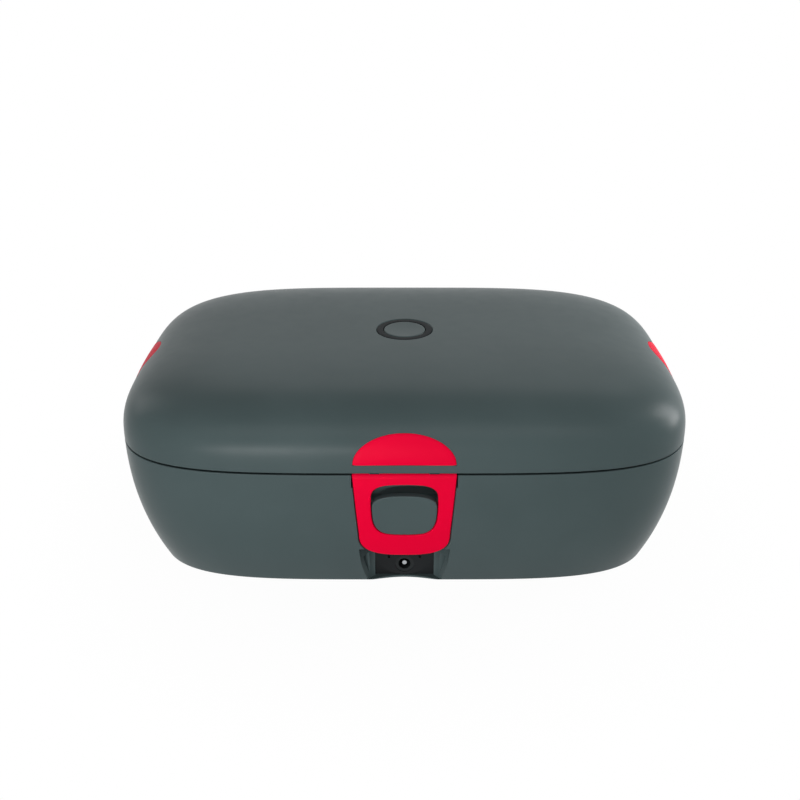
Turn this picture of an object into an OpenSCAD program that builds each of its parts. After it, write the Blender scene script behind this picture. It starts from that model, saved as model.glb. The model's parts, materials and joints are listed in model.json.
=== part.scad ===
// Electric lunch box: a squared oval box in two halves with a hinged lid,
// three swing-down latches, a round push button ringed by a light in the lid,
// a heated dish inside and a low-voltage power inlet under the front latch.
// Millimetres. +Z is up, the front faces -Y, and the origin is on the ground
// under the middle of the box.

/* [Body] */
// Width of the box at the seam
body_w = 265; // [255:1:280]
// Depth of the box at the seam, without the hinge
body_d = 179; // [174:1:190]
// Height of the lower half, from its underside to the seam
base_h = 64.5; // [63:0.5:70]
// Height of the lid above the seam
lid_h = 32; // [31:0.5:38]
// Open line between the two halves
seam_gap = 0.9; // [0.8:0.1:1.1]
// Squareness of the plan outline, 2 for an ellipse and more for squarer
plan_power = 4.45; // [4:0.05:4.8]
// How far the lower wall leans in from the seam to the foot
wall_lean = 12.9; // [10:0.1:14]
// Width of the rounding under the lower half
foot_round_w = 9.2; // [6:0.1:10]
// Height of the rounding under the lower half
foot_round_h = 1.6; // [1.2:0.1:3.6]
// Thickness of the outer walls
wall = 2.4; // [2.2:0.1:2.7]

/* [Latches] */
// Half the width of a latch at its top
latch_half = 22.8; // [21.5:0.1:24]
// Half the width of a latch where its lower corners start
latch_low_half = 20.4; // [20:0.1:21.4]
// Length of a latch from the seam to its lower edge
latch_len = 45.5; // [44.5:0.1:46.5]
// Thickness of the latch plate
latch_t = 3; // [2.6:0.1:3.2]
// Half the width of the window in a latch
window_half = 14.7; // [13.5:0.1:15.5]
// Depth of the window's upper edge below the seam
window_top = 5.5; // [5.3:0.1:7]
// Depth of the window's lower edge below the seam
window_low = 32.8; // [31:0.1:34]
// Depth of the catch's upper edge below the seam
catch_top = 11.1; // [10:0.1:12]
// Diameter of the steel pin that a latch swings on
latch_pin_d = 1.8; // [1.6:0.1:2]
// Radius of the small lugs that carry the latch pins
lug_r = 1.9; // [1.8:0.05:2]
// Height of the red cap above the front latch
cap_h = 14; // [12:0.5:15]
// Height of the red caps above the side latches
side_cap_h = 18.6; // [16:0.2:19]
// Half the width of the red caps
cap_half = 22.4; // [21:0.1:23.5]

/* [Hinge] */
// Radius of the hinge knuckles
knuckle_r = 3; // [2.8:0.1:3.2]
// Diameter of the two hinge pins
hinge_pin_d = 2; // [1.8:0.1:2.4]
// Middle of each hinge from the middle of the box
hinge_x = 36; // [34:1:48]
// Length of one outer knuckle
knuckle_len = 8; // [7:0.5:9]

/* [Button] */
// Radius of the round button cap
button_r = 10.2; // [9.5:0.1:11]
// Outer radius of the light ring
ring_r = 13.8; // [13.2:0.1:15]
// How far the button goes down
button_travel = 0.8; // [0.5:0.1:1]

/* [Power inlet] */
// Height of the inlet above the underside of the lower half
inlet_h = 7.7; // [7.4:0.1:8.4]
// How far the inlet's face lies behind the front of the seam
inlet_in = 16; // [15.5:0.1:16.5]
// Diameter of the inlet's round hole
inlet_d = 5.7; // [5.5:0.1:6]
// Diameter of the inlet's centre pin
inlet_pin_d = 2.1; // [1.8:0.1:2.5]
// Radius of the inlet's round face
inlet_face_r = 15.5; // [14.5:0.5:16]

/* [Inside] */
// Thickness of the moulded liners
liner_t = 2; // [1.8:0.1:2.2]
// Thickness of the steel dish
dish_t = 0.8; // [0.7:0.1:1]
// Thickness of the heating plate
plate_t = 2; // [1.5:0.1:2.4]
// Thickness of the pad under the heating foil
pad_t = 4; // [3:0.5:4.5]
// Thickness of the circuit boards
board_t = 1.6; // [1.2:0.1:1.8]
// How far the rubber feet stand out below
foot_h = 1; // [0.8:0.1:1.4]
// Radius of the rubber feet
foot_r = 7; // [6:0.5:8]

/* [Fits] */
// Gap around parts that swing or lift
swing_gap = 0.35; // [0.3:0.05:0.45]
// Radial gap of a pin in the part that turns on it
pin_gap = 0.05; // [0.03:0.01:0.08]
// Gap beside parts that drop into each other and stay
seat_gap = 0.3; // [0.2:0.05:0.4]

/* [Hidden] */
sides = 64;
$fn = 48;
big = 400;

// Heights from the ground
z_base = foot_h;
z_seam = z_base + base_h;
z_rim = z_seam - seam_gap / 2;
z_lid = z_seam + seam_gap / 2;
z_top = z_seam + lid_h;
side_power = 5.6;
crown_power = 3.06;
crown_plan = 3;
lean_power = 2.13;

// Distances inward from the seam line
rim_in = 10.2;
ledge_in = 13;
trough_in = 8.4;
floor_in = 24;
cover_seat_in = 30;
ledge_z = z_seam - 7;
flange_z = z_seam - 3.4;
cover_z = z_base + 0.4;
cover_t = 2;
floor_top = z_base + 5.4;

// Latch, measured from its own axis
latch_r = 2.4;
latch_z = z_lid - 0.3 - latch_r;
latch_corner = 32.5;
recess_in = latch_t + 0.3;
lug_x = 13;
lug_w = 4;
lug_arm = 2.3;
trough_h = 6.7;
catch_hollow = 3.8;

// Hook on top of a latch, and the lip of the lid that it holds down
hook_half = 8;
lip_h = 1;
lip_in = wall + 1.05;
hook_z = z_lid + lip_h + 0.25;
hook_h = 1.1;
hook_in = lip_in + 0.25;
hook_t = 1.3;

// Heated stack
well_in = 14.5;
well_low_in = 20.5;
board_z = z_base + 7;
part_h = 5;
part_room = 1;
foil_t = 0.8;
plate_z = board_z + board_t + part_h + part_room + pad_t + foil_t;
well_floor = plate_z - liner_t;
plate_in = 34.5;
dish_z = plate_z + plate_t;
dish_in = 19.5;
dish_low_in = 24.5;
dish_rim_in = 15.2;
dish_rim_z = flange_z + liner_t;

function base_inset(z) =
    let (h = z - z_base,
         t = max(0, 1 - h / base_h),
         u = max(0, 1 - h / foot_round_h))
    wall_lean * pow(t, lean_power) + foot_round_w * (1 - sqrt(max(0, 1 - u * u)));

// Share of the plan that the lid still covers at height z
function lid_scale(z) =
    pow(1 - pow(min(1, max(0, z - z_seam) / lid_h), crown_power), 1 / side_power);

// One squared oval at height z, drawn in from the seam by a distance
function oval(half_x, half_y, power) =
    [for (i = [0:sides - 1])
        let (c = cos(360 * i / sides), s = sin(360 * i / sides))
        [half_x * sign(c) * pow(abs(c), 2 / power),
         half_y * sign(s) * pow(abs(s), 2 / power)]];
function plan(inset) = oval(body_w / 2 - inset, body_d / 2 - inset, plan_power);
function lift(points, z) = [for (p = points) [p[0], p[1], z]];

// Closed solid through a stack of rings with as many points each
module loft(rings) {
    n = len(rings[0]);
    m = len(rings);
    walls = [for (j = [0:m - 2], i = [0:n - 1])
        let (k = (i + 1) % n, a = j * n, b = (j + 1) * n)
        each [[a + i, b + i, b + k], [a + i, b + k, a + k]]];
    low = [[for (i = [0:n - 1]) i]];
    high = [[for (i = [n - 1:-1:0]) (m - 1) * n + i]];
    polyhedron([for (r = rings) each r], concat(low, walls, high), convexity = 6);
}

// Flat slab with the plan outline
module slab(inset, z, height) {
    translate([0, 0, z]) linear_extrude(height) polygon(plan(inset));
}

module slab_ring(inset, width, z, height) {
    translate([0, 0, z]) linear_extrude(height) difference() {
        polygon(plan(inset));
        polygon(plan(inset + width));
    }
}

// Stack of rings following the lower wall, moved inward
function wall_rings(inset, low, high, count) =
    [for (i = [0:count])
        let (z = low + (high - low) * pow(i / count, 1.4))
        lift(plan(base_inset(z) + inset), z)];

// Stack of rings following the lid, moved inward
function lid_rings(inset, low) =
    let (h = lid_h - inset, start = lift(plan(inset), low))
    concat([start], [for (i = [1:10])
        let (turn = 89.4 * pow(i / 10, 1.35),
             share = pow(cos(turn), 2 / side_power),
             z = z_seam + h * pow(sin(turn), 2 / crown_power))
        if (z > low + 0.5)
            lift(oval((body_w / 2 - inset) * share, (body_d / 2 - inset) * share,
                      plan_power * share + crown_plan * (1 - share)), z)]);

// Places what is drawn for the front latch at the front, left or right side.
// Inside, X runs along the side, Y points inward from the seam line.
sides_of_latches = ["front", "left", "right"];
module at_side(side) {
    if (side == "front") translate([0, -body_d / 2, 0]) children();
    if (side == "left") translate([-body_w / 2, 0, 0]) rotate([0, 0, -90]) children();
    if (side == "right") translate([body_w / 2, 0, 0]) rotate([0, 0, 90]) children();
}

// Extrudes an outline drawn in X and Z along Y
module through(y0, y1) {
    translate([0, y1, 0]) rotate([90, 0, 0]) linear_extrude(y1 - y0) children();
}

// Extrudes a profile drawn in Y and Z along X, centred
module along(half) {
    translate([-half, 0, 0]) rotate([90, 0, 90]) linear_extrude(2 * half) children();
}

// Layer of the lower wall between two depths, as a profile in Y and Z
module wall_layer(in0, in1, low, high, count = 12) {
    zs = [for (i = [0:count]) low + (high - low) * i / count];
    polygon(concat([for (z = zs) [base_inset(z) + in0, z]],
                   [for (i = [count:-1:0]) [base_inset(zs[i]) + in1, zs[i]]]));
}

// Layer of the lid's skin between two depths, as a profile in Y and Z
module lid_layer(half, in0, in1, low, high, count = 10) {
    zs = [for (i = [0:count]) low + (high - low) * i / count];
    polygon(concat([for (z = zs) [half * (1 - lid_scale(z)) + in0, z]],
                   [for (i = [count:-1:0]) [half * (1 - lid_scale(zs[i])) + in1, zs[i]]]));
}

// Quarter of a squared oval from its side to its end
function quarter(half_x, half_y, power, steps = 8) =
    [for (i = [0:steps])
        let (turn = 90 * i / steps)
        [half_x * pow(cos(turn), 2 / power), half_y * pow(sin(turn), 2 / power)]];
function mirrored(right) =
    concat(right, [for (i = [len(right) - 1:-1:0]) if (right[i][0] > 0.001) [-right[i][0], right[i][1]]]);

module latch_outline() {
    top = latch_z + latch_r;
    corner_h = latch_len - latch_corner;
    right = concat([[latch_half, top]],
        [for (p = quarter(latch_low_half, corner_h, 2.75)) [p[0], z_seam - latch_corner - p[1]]]);
    polygon(mirrored(right));
}

module window_outline() {
    middle = window_top + 8.5;
    up = [for (p = quarter(window_half, 8.5, 3.4)) [p[0], z_seam - middle + p[1]]];
    down = [for (p = quarter(window_half, window_low - middle, 3.8)) [p[0], z_seam - middle - p[1]]];
    half = concat([for (i = [len(up) - 1:-1:0]) up[i]], [for (i = [1:len(down) - 1]) down[i]]);
    polygon(mirrored(half));
}

// Raised catch that fills the lower part of the window, the same gap in from it all round
module catch_outline() {
    middle = catch_top + 6.4;
    half_w = window_half - swing_gap;
    arch = [for (p = quarter(half_w, 6.4, 2.65)) [p[0], z_seam - middle + p[1]]];
    intersection() {
        offset(delta = -swing_gap) window_outline();
        polygon(mirrored(concat([[half_w, z_seam - window_low - 2]], arch)));
    }
}

// Arched outline of a red cap on the lid
cap_z = z_seam + 4.4;
module cap_outline(height, grow = 0) {
    polygon(mirrored(concat([[cap_half + grow, cap_z - grow]],
        [for (p = quarter(cap_half + grow, height + grow, 2.1, 10)) [p[0], cap_z + p[1]]])));
}
cap_t = 1.2;
module cap_shape(side, grow) {
    half = side == "front" ? body_d / 2 : body_w / 2;
    height = side == "front" ? cap_h : side_cap_h;
    proud = side == "front" ? 0.25 : 0.55;
    intersection() {
        along(cap_half + 1)
            lid_layer(half, -proud - grow, cap_t + grow, z_lid + 1, cap_z + height + 1);
        through(-2, 30) cap_outline(height, grow);
    }
}

// Space that a latch lies and swings in
module latch_recess() {
    difference() {
        intersection() {
            along(latch_half + 1) wall_layer(-3, recess_in, z_seam - latch_len - 1, z_seam + 2);
            through(-5, 30) offset(delta = swing_gap) latch_outline();
        }
        catch();
    }
    translate([-latch_half - swing_gap, -2, z_seam - trough_h])
        cube([2 * (latch_half + swing_gap), trough_in + 2, trough_h + 3]);
    translate([-window_half, recess_in, z_seam - catch_top - catch_hollow])
        cube([2 * window_half, trough_in - recess_in, catch_hollow + catch_top - trough_h + 1]);
}

module catch() {
    intersection() {
        along(window_half) wall_layer(0.1, recess_in + 1, z_seam - window_low - 1, z_seam - 9);
        through(-1, 30) catch_outline();
    }
}

// Thick part of the lower wall behind a latch
module latch_block() {
    translate([-latch_half - 3, -1, z_seam - latch_len - 3])
        cube([2 * latch_half + 6, rim_in + 1, latch_len + 3 - 3.4]);
}

// Scooped space under the front latch, in front of the inlet
scoop_top = z_base + 23;
scoop_mouth = 21.3;
scoop_foot = 18.6;
scoop_back = 13.7;
lip_z = z_base + 1.4;
module scoop_plan() {
    flare = [for (i = [0:8]) let (t = i == 8 ? 1 : 1 - pow(1 - i / 8, 1.6))
        [scoop_back + (scoop_mouth - scoop_back) * pow(1 - t, 0.74), inlet_in - 11 + 11 * t]];
    polygon(mirrored(concat([[0, -2], [scoop_mouth + 2, -2]], flare, [[0, inlet_in]])));
}

// Arched edge of the thin floor lip in front of the inlet
lip_half = 16.3;
module lip_plan() {
    arch = [for (i = [0:8]) let (x = lip_half * (1 - i / 8))
        [x, inlet_in - 3.8 + 3.8 * pow(cos(90 * x / lip_half), 0.9)]];
    polygon(mirrored(concat([[0, -2], [scoop_foot, -2], [scoop_foot, inlet_in - 5]], arch)));
}
module scoop() {
    intersection() {
        translate([0, 0, lip_z]) linear_extrude(scoop_top - lip_z) scoop_plan();
        through(-3, 30) polygon([[-scoop_foot, z_base - 2], [scoop_foot, z_base - 2],
            [scoop_mouth, z_seam - latch_corner], [-scoop_mouth, z_seam - latch_corner]]);
    }
    translate([0, 0, z_base - 1]) linear_extrude(lip_z - z_base + 1.05) lip_plan();
}
module scoop_block() {
    translate([-scoop_mouth - 2.4, -1, z_base]) cube([2 * scoop_mouth + 4.8, inlet_in + 3.4, scoop_top - z_base + 2.4]);
}

// Finger scoop under a side latch
grip_half = 14;
grip_in = 14.6;
grip_low = z_base + 8;
module grip() {
    intersection() {
        translate([0, 0, grip_low]) linear_extrude(scoop_top - grip_low)
            polygon([[-grip_half - 3, -2], [grip_half + 3, -2], [grip_half, grip_in - 5],
                     [grip_half - 3, grip_in], [3 - grip_half, grip_in], [-grip_half, grip_in - 5]]);
        through(-3, 30) polygon([[3 - grip_half, grip_low], [grip_half - 3, grip_low],
            [grip_half, grip_low + 3], [grip_half, scoop_top], [-grip_half, scoop_top],
            [-grip_half, grip_low + 3]]);
    }
}
module grip_block() {
    translate([-grip_half - 2.4, -1, z_base]) cube([2 * grip_half + 4.8, grip_in + 3.4, scoop_top - z_base + 2.4]);
}

// Hinge: each side has an outer knuckle, a lid knuckle and an inner knuckle
hinge_y = body_d / 2;
lid_knuckle_len = 12;
hinge_step = lid_knuckle_len / 2 + knuckle_len / 2 + 0.3;
module knuckle(x, length, bore) {
    translate([x - length / 2, hinge_y, z_seam]) rotate([0, 90, 0]) difference() {
        cylinder(r = knuckle_r, h = length);
        translate([0, 0, -1]) cylinder(d = bore, h = length + 2);
    }
}
module knuckle_space(x, length) {
    translate([x - length / 2 - 0.4, hinge_y, z_seam]) rotate([0, 90, 0])
        cylinder(r = knuckle_r + 0.4, h = length + 0.8);
}
base_knuckles = [for (s = [-1, 1], k = [-1, 1]) s * hinge_x + k * hinge_step];
lid_knuckles = [for (s = [-1, 1]) s * hinge_x];
arm_in = 7;
arm_h = 6;
module base_arm_space(x, length) {
    translate([x - length / 2, hinge_y - arm_in, z_seam - arm_h])
        cube([length, arm_in + 2, arm_h + 1]);
}
module lid_arm_space(x, length) {
    translate([x - length / 2, hinge_y - arm_in, z_seam - 1])
        cube([length, arm_in + 2, arm_h + 1]);
}

// Places of repeated fasteners
floor_half = [body_w / 2 - floor_in - 3.2, body_d / 2 - floor_in - 3.2];
floor_places = concat(
    [for (x = [-1, 1], y = [-1, 1]) [x * floor_half[0] * 0.88, y * floor_half[1] * 0.82]],
    [[0, floor_half[1]], [-24, -floor_half[1]], [24, -floor_half[1]]]);
foot_places = [for (x = [-1, 1], y = [-1, 1]) [x * (body_w / 2 - 57.5), y * (body_d / 2 - 49.5)]];
lid_screw_places = concat(
    [for (x = [-1, 1], y = [-1, 1]) [x * (body_w / 2 - 32.5), y * (body_d / 2 - 39.5)]],
    [for (y = [-1, 1]) [0, y * (body_d / 2 - 23.5)]]);
board_middle = [-50, 0];
board_half = [40, 30];
board_places = [for (x = [-1, 1], y = [-1, 1])
    board_middle + [x * (board_half[0] - 4), y * (board_half[1] - 4)]];
screw_r = 1.25;

// Contacts that join the lid's wiring to the base when the lid is shut
contact_half = 9;
contact_y = hinge_y - 9.6;
contact_w = 3.6;
contact_h = 7;
contact_xs = [-6, -2, 2, 6];

// Button stack, from the top of the lid down
skin_z = z_top - wall;
ring_gap = 0.3;
ring_low = skin_z - 1.8;
cap_flange_z = ring_low - ring_gap - 1.6;
stem_z = cap_flange_z - 1;
button_board_z = stem_z - 2.4 - button_travel - 0.15 - board_t;
carrier_r = 20;
carrier_z = button_board_z - 1;
ear_r = 3.5;
ear_places = [for (i = [0:2]) [23.2 * cos(90 + 120 * i), 23.2 * sin(90 + 120 * i)]];

liner_z = z_lid + 0.3;
gasket_low = dish_rim_z + seat_gap;
foam_z = liner_z + liner_t;
foam_t = lid_h / 2;

// Height of the inside of the lid's skin above a point of the plan
function skin_over(x, y) =
    let (share = pow(pow(abs(x) / (body_w / 2), plan_power)
                   + pow(abs(y) / (body_d / 2), plan_power), 1 / plan_power))
    z_seam + lid_h * pow(1 - pow(share, side_power), 1 / crown_power) - wall;

// Smooth route through chosen points, and a thin tube along it. The tube's
// sides are turned by a direction that the route never follows.
function bend(a, b, c, d, t) =
    0.5 * (2 * b + (c - a) * t + (2 * a - 5 * b + 4 * c - d) * t * t
        + (3 * b - a - 3 * c + d) * t * t * t);
function route(p, steps = 4) =
    let (n = len(p) - 1)
    concat([for (i = [0:n - 1], k = [0:steps - 1])
        bend(p[max(0, i - 1)], p[i], p[i + 1], p[min(n, i + 2)], k / steps)], [p[n]]);
function unit(v) = v / norm(v);
module tube(points, r, lean = [0.1, 0.15, 1]) {
    path = route(points);
    n = len(path) - 1;
    rings = [for (i = [0:n])
        let (way = unit(path[min(n, i + 1)] - path[max(0, i - 1)]),
             side = unit(cross(way, lean)), up = cross(side, way))
        [for (k = [0:7]) path[i] + r * cos(45 * k) * side + r * sin(45 * k) * up]];
    loft(rings);
}

module base_shell() {
    color("#4b5859") difference() {
        union() {
            base_body();
            for (s = sides_of_latches, x = [-lug_x, lug_x]) at_side(s) lug(x);
        }
        for (s = sides_of_latches) at_side(s) latch_bore(latch_pin_d);
    }
}

module base_body() {
    difference() {
        loft(wall_rings(0, z_base, z_rim, 10));
        difference() {
            union() {
                slab(cover_seat_in, z_base - 1, floor_top - z_base + 1.5);
                loft(wall_rings(wall, floor_top, ledge_z, 6));
                slab(ledge_in, ledge_z - 0.5, 20);
                slab(rim_in, flange_z, 20);
            }
            for (s = sides_of_latches) at_side(s) latch_block();
            at_side("front") scoop_block();
            for (s = ["left", "right"]) at_side(s) grip_block();
        }
        slab(floor_in, z_base - 1, cover_z + cover_t - z_base + 1);
        slab_ring(2.3, 2.7, z_seam - 2, 5);
        for (s = sides_of_latches) at_side(s) latch_recess();
        at_side("front") scoop();
        for (s = ["left", "right"]) at_side(s) grip();
        at_side("front") {
            through(inlet_in - 1, inlet_in + 2.4) inlet_plate();
            along_inlet(inlet_in + 2, jack_back + 1, tube_r + 0.2);
        }
        for (x = base_knuckles) base_arm_space(x, knuckle_len);
        for (x = lid_knuckles) knuckle_space(x, lid_knuckle_len);
        translate([-contact_half, contact_y, ledge_z - 1]) cube([2 * contact_half, contact_w, 20]);
        for (p = floor_places) translate(p) translate([0, 0, z_base])
            cylinder(r = screw_r, h = 5);
    }
}

// Round face of the inlet, cut by the two sides of the scoop
inlet_middle = z_base + 2 + inlet_face_r;
module inlet_face(grow = 0) {
    intersection() {
        translate([0, inlet_middle]) circle(inlet_face_r + grow, $fn = 72);
        translate([-scoop_back - grow, z_base])
            square([2 * (scoop_back + grow), inlet_face_r + 1.7 + grow]);
    }
}

// Plate behind the round face, squared off below
module inlet_plate(grow = 0) {
    inlet_face(grow);
    translate([-scoop_back - grow, lip_z - grow])
        square([2 * (scoop_back + grow), inlet_middle - lip_z]);
}

module bottom_cover() {
    color("#2b3031") difference() {
        union() {
            slab(floor_in + seat_gap, cover_z, cover_t);
            for (p = board_places) translate([p[0], p[1], cover_z])
                cylinder(r = 3, h = board_z - cover_z);
        }
        for (p = foot_places) translate([p[0], p[1], cover_z - 1])
            cylinder(r = foot_r + 0.1, h = 1.6);
        for (p = floor_places) translate(p) translate([0, 0, cover_z]) {
            translate([0, 0, -1]) cylinder(r = 2.4, h = 2.2);
            cylinder(r = screw_r, h = 5);
        }
        for (p = board_places) translate([p[0], p[1], cover_z + 1])
            cylinder(r = 1, h = board_z);
    }
}

// Screw pointing up, its head's underside at the origin
module screw(head_r, head_h, r, length, drive = 1.6) {
    difference() {
        union() {
            translate([0, 0, -head_h]) cylinder(r = head_r, h = head_h);
            cylinder(r = r, h = length);
        }
        for (a = [0, 90]) rotate(a) translate([-drive, -0.3, -head_h - 1]) cube([2 * drive, 0.6, 1.6]);
    }
}

module cover_screws() {
    color("#b9bcbd") for (p = floor_places) translate(p) translate([0, 0, cover_z + 1.2])
        screw(2.3, 1.1, screw_r, 3.2);
}

module rubber_feet() {
    color("#1b1d1e") for (p = foot_places) translate([p[0], p[1], 0]) {
        cylinder(r1 = foot_r - 0.6, r2 = foot_r, h = 0.6);
        translate([0, 0, 0.6]) cylinder(r = foot_r, h = cover_z);
    }
}

module base_liner() {
    color("#222526") difference() {
        union() {
            slab(rim_in + seat_gap, flange_z, liner_t);
            loft([lift(plan(well_low_in), well_floor), lift(plan(well_in), flange_z + 1)]);
        }
        loft([lift(plan(well_low_in + liner_t), plate_z),
              lift(plan(well_in + liner_t), flange_z + liner_t + 1)]);
        slab(plate_in + 4, well_floor - 1, 4);
    }
}

module food_dish() {
    color("#c9cccd") difference() {
        union() {
            loft([lift(plan(dish_low_in + 2.5), dish_z), lift(plan(dish_low_in + 0.4), dish_z + 1.2),
                  lift(plan(dish_low_in - 0.5), dish_z + 4), lift(plan(dish_in), dish_rim_z + dish_t)]);
            slab(dish_rim_in, dish_rim_z, dish_t);
        }
        loft([lift(plan(dish_low_in + 3), dish_z + dish_t), lift(plan(dish_low_in + 1), dish_z + 2),
              lift(plan(dish_low_in + 0.3), dish_z + 4.5),
              lift(plan(dish_in + dish_t), dish_rim_z + dish_t + 1)]);
    }
}

cutout_x = 25;
cutout_r = 8;
sensor_r = 2;
module probe_holes(z, h) {
    translate([cutout_x, 0, z]) cylinder(r = cutout_r + 0.5, h = h);
    translate([-cutout_x, 0, z]) cylinder(r = sensor_r + 0.5, h = h);
}

module heating_plate() {
    color("#a9adae") slab(plate_in, plate_z, plate_t);
}

module heating_foil() {
    color("#c46a2c") difference() {
        slab(plate_in + 8, plate_z - foil_t, foil_t);
        probe_holes(plate_z - foil_t - 1, foil_t + 2);
    }
}

module plate_insulation() {
    color("#d8d6cf") difference() {
        slab(plate_in + 6, plate_z - foil_t - pad_t, pad_t);
        probe_holes(plate_z - foil_t - pad_t - 1, pad_t + 2);
    }
}

module thermal_cutout() {
    color("#d9c9a0") translate([cutout_x, 0, plate_z]) {
        translate([0, 0, -4]) cylinder(r = cutout_r, h = 4);
        translate([0, 0, -7]) cylinder(r = cutout_r - 1.5, h = 3);
        for (y = [-4, 4]) translate([-1.5, y - 0.4, -9.5]) cube([3, 0.8, 3]);
    }
}

module temperature_sensor() {
    color("#202225") translate([-cutout_x, 0, plate_z - 6]) cylinder(r = sensor_r, h = 6);
}

module control_board() {
    color("#1f6b3a") difference() {
        translate([board_middle[0] - board_half[0], board_middle[1] - board_half[1], board_z])
            cube([2 * board_half[0], 2 * board_half[1], board_t]);
        for (p = board_places) translate([p[0], p[1], board_z - 1]) cylinder(r = screw_r, h = 4);
    }
}

module board_components() {
    top = board_z + board_t;
    color("#2a2d30") {
        translate([-72, 8, top]) difference() {
            cylinder(r = 7, h = part_h);
            translate([0, 0, -1]) cylinder(r = 3, h = 7);
        }
        for (x = [-54, -46]) translate([x, 14, top]) cylinder(r = 3.2, h = part_h);
        translate([-66, -16, top]) cube([8, 8, 1.4]);
        for (x = [-50, -42, -34]) translate([x, -18, top]) cube([5, 6, 2.2]);
        translate([-22, -22, top]) cube([8, 6, part_h]);
        translate([-22, -8, top]) cube([8, 6, part_h]);
        translate([-22, 10, top]) cube([8, 6, part_h]);
    }
}

module board_screws() {
    color("#b9bcbd") for (p = board_places)
        translate([p[0], p[1], board_z + board_t]) rotate([180, 0, 0])
            screw(2.2, 1.3, 1, board_t + 4);
}

inlet_z = z_base + inlet_h;
jack_r = 4.4;
tube_r = jack_r + 0.8;
jack_back = inlet_in + 14;
module along_inlet(y0, y1, r) {
    translate([0, y0, inlet_z]) rotate([-90, 0, 0]) cylinder(r = r, h = y1 - y0);
}

module inlet_housing() {
    color("#26292a") at_side("front") difference() {
        union() {
            through(inlet_in, inlet_in + 1) inlet_face();
            through(inlet_in + 1, inlet_in + 2.4) inlet_plate();
            through(inlet_in + 2.4, inlet_in + 3.4) intersection() {
                inlet_plate(1.5);
                translate([-big / 2, floor_top + 0.1]) square(big);
            }
            along_inlet(inlet_in + 2, jack_back - 1, tube_r);
        }
        along_inlet(inlet_in - 1, jack_back + 1, jack_r);
        for (x = [-7.2, 7.2]) translate([x - 0.5, inlet_in - 1, z_base + 11]) cube([1, 2, 8]);
    }
}

module inlet_jack() {
    color("#17191a") at_side("front") difference() {
        along_inlet(inlet_in + 0.3, jack_back, jack_r);
        along_inlet(inlet_in - 1, inlet_in + 10.3, inlet_d / 2);
    }
}

module inlet_pin() {
    color("#d5d8da") at_side("front") {
        along_inlet(inlet_in + 1.2, inlet_in + 10.3, inlet_pin_d / 2);
    }
}

lead_r = 0.9;
module inlet_lead() {
    y = jack_back - body_d / 2;
    for (x = [-1, 1]) color(x < 0 ? "#1c1c1c" : "#b3202a")
        tube([[2 * x, y + 0.1, inlet_z], [2 * x, y + 6, inlet_z], [2 * x - 6, y + 15, inlet_z + 1.5],
              [2 * x - 16, -33, inlet_z + 3], [2 * x - 18, -22.15, inlet_z + 3.3]], lead_r);
}

module heater_lead() {
    z = plate_z - 10.3;
    color("#b3202a") tube([[-13.8, 13, z + 0.6], [-9, 13, z + 0.6], [6, 9, z],
        [16, 4, z], [cutout_x - 1.7, 4, z]], 1);
    color("#e0e0dc") tube([[-22.2, 13, board_z + 4.2], [-25.5, 12, board_z + 4.6],
        [-cutout_x - 1, 4, plate_z - 8], [-cutout_x, 0, plate_z - 7.6], [-cutout_x, 0, plate_z - 6.2]], 0.8);
}

module contact_block() {
    color("#202324") difference() {
        translate([-contact_half, contact_y, z_rim - contact_h])
            cube([2 * contact_half, contact_w, contact_h]);
        for (x = contact_xs) translate([x, contact_y + contact_w / 2, z_rim - contact_h - 1])
            cylinder(r = 0.6, h = contact_h + 2);
    }
}

module contact_pins() {
    color("#d9b45a") for (x = contact_xs)
        translate([x, contact_y + contact_w / 2, z_rim - contact_h - 2])
            cylinder(r = 0.6, h = contact_h + 2 + 0.5);
}

module contact_lead() {
    y = contact_y + contact_w / 2;
    z = z_rim - contact_h - 2;
    color("#1c1c1c") tube([[-13.7, -5, board_z + 3.5], [-10, -5, board_z + 3.5], [-5, 2, z_base + 6],
        [-4, 13, z_base + 4.6], [-3, 28, z_base + 4.6], [-2, body_d / 2 - 44.5, z_base + 6.5], [0, body_d / 2 - 27.5, z_base + 8.5],
        [0, body_d / 2 - 18, z_base + 16], [0, body_d / 2 - 11.2, z - 16],
        [0, y - 0.5, z - 4], [0, y, z - 1.5]], 1.5, [1, 0.1, 0.05]);
}

module hinge_base() {
    color("#4b5859") difference() {
        for (x = base_knuckles) {
            knuckle(x, knuckle_len, hinge_pin_d);
            intersection() {
                base_arm_space(x, knuckle_len);
                translate([-big / 2, 0, 0]) cube([big, hinge_y - 0.3, z_rim]);
            }
        }
        for (x = base_knuckles) knuckle_bore(x, knuckle_len, hinge_pin_d);
    }
}
module knuckle_bore(x, length, bore) {
    translate([x - length / 2 - 1, hinge_y, z_seam]) rotate([0, 90, 0])
        cylinder(d = bore, h = length + 2);
}

module hinge_lid() {
    bore = hinge_pin_d + 2 * pin_gap;
    color("#4b5859") difference() {
        for (x = lid_knuckles) {
            knuckle(x, lid_knuckle_len, bore);
            intersection() {
                lid_arm_space(x, lid_knuckle_len);
                translate([-big / 2, 0, z_lid]) cube([big, hinge_y - 0.3, big]);
            }
        }
        for (x = lid_knuckles) knuckle_bore(x, lid_knuckle_len, bore);
    }
}

module hinge_pins() {
    length = lid_knuckle_len + 2 * knuckle_len + 0.4;
    color("#c4c7c8") for (x = lid_knuckles)
        translate([x - length / 2, hinge_y, z_seam]) rotate([0, 90, 0])
            cylinder(d = hinge_pin_d, h = length);
}

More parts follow.
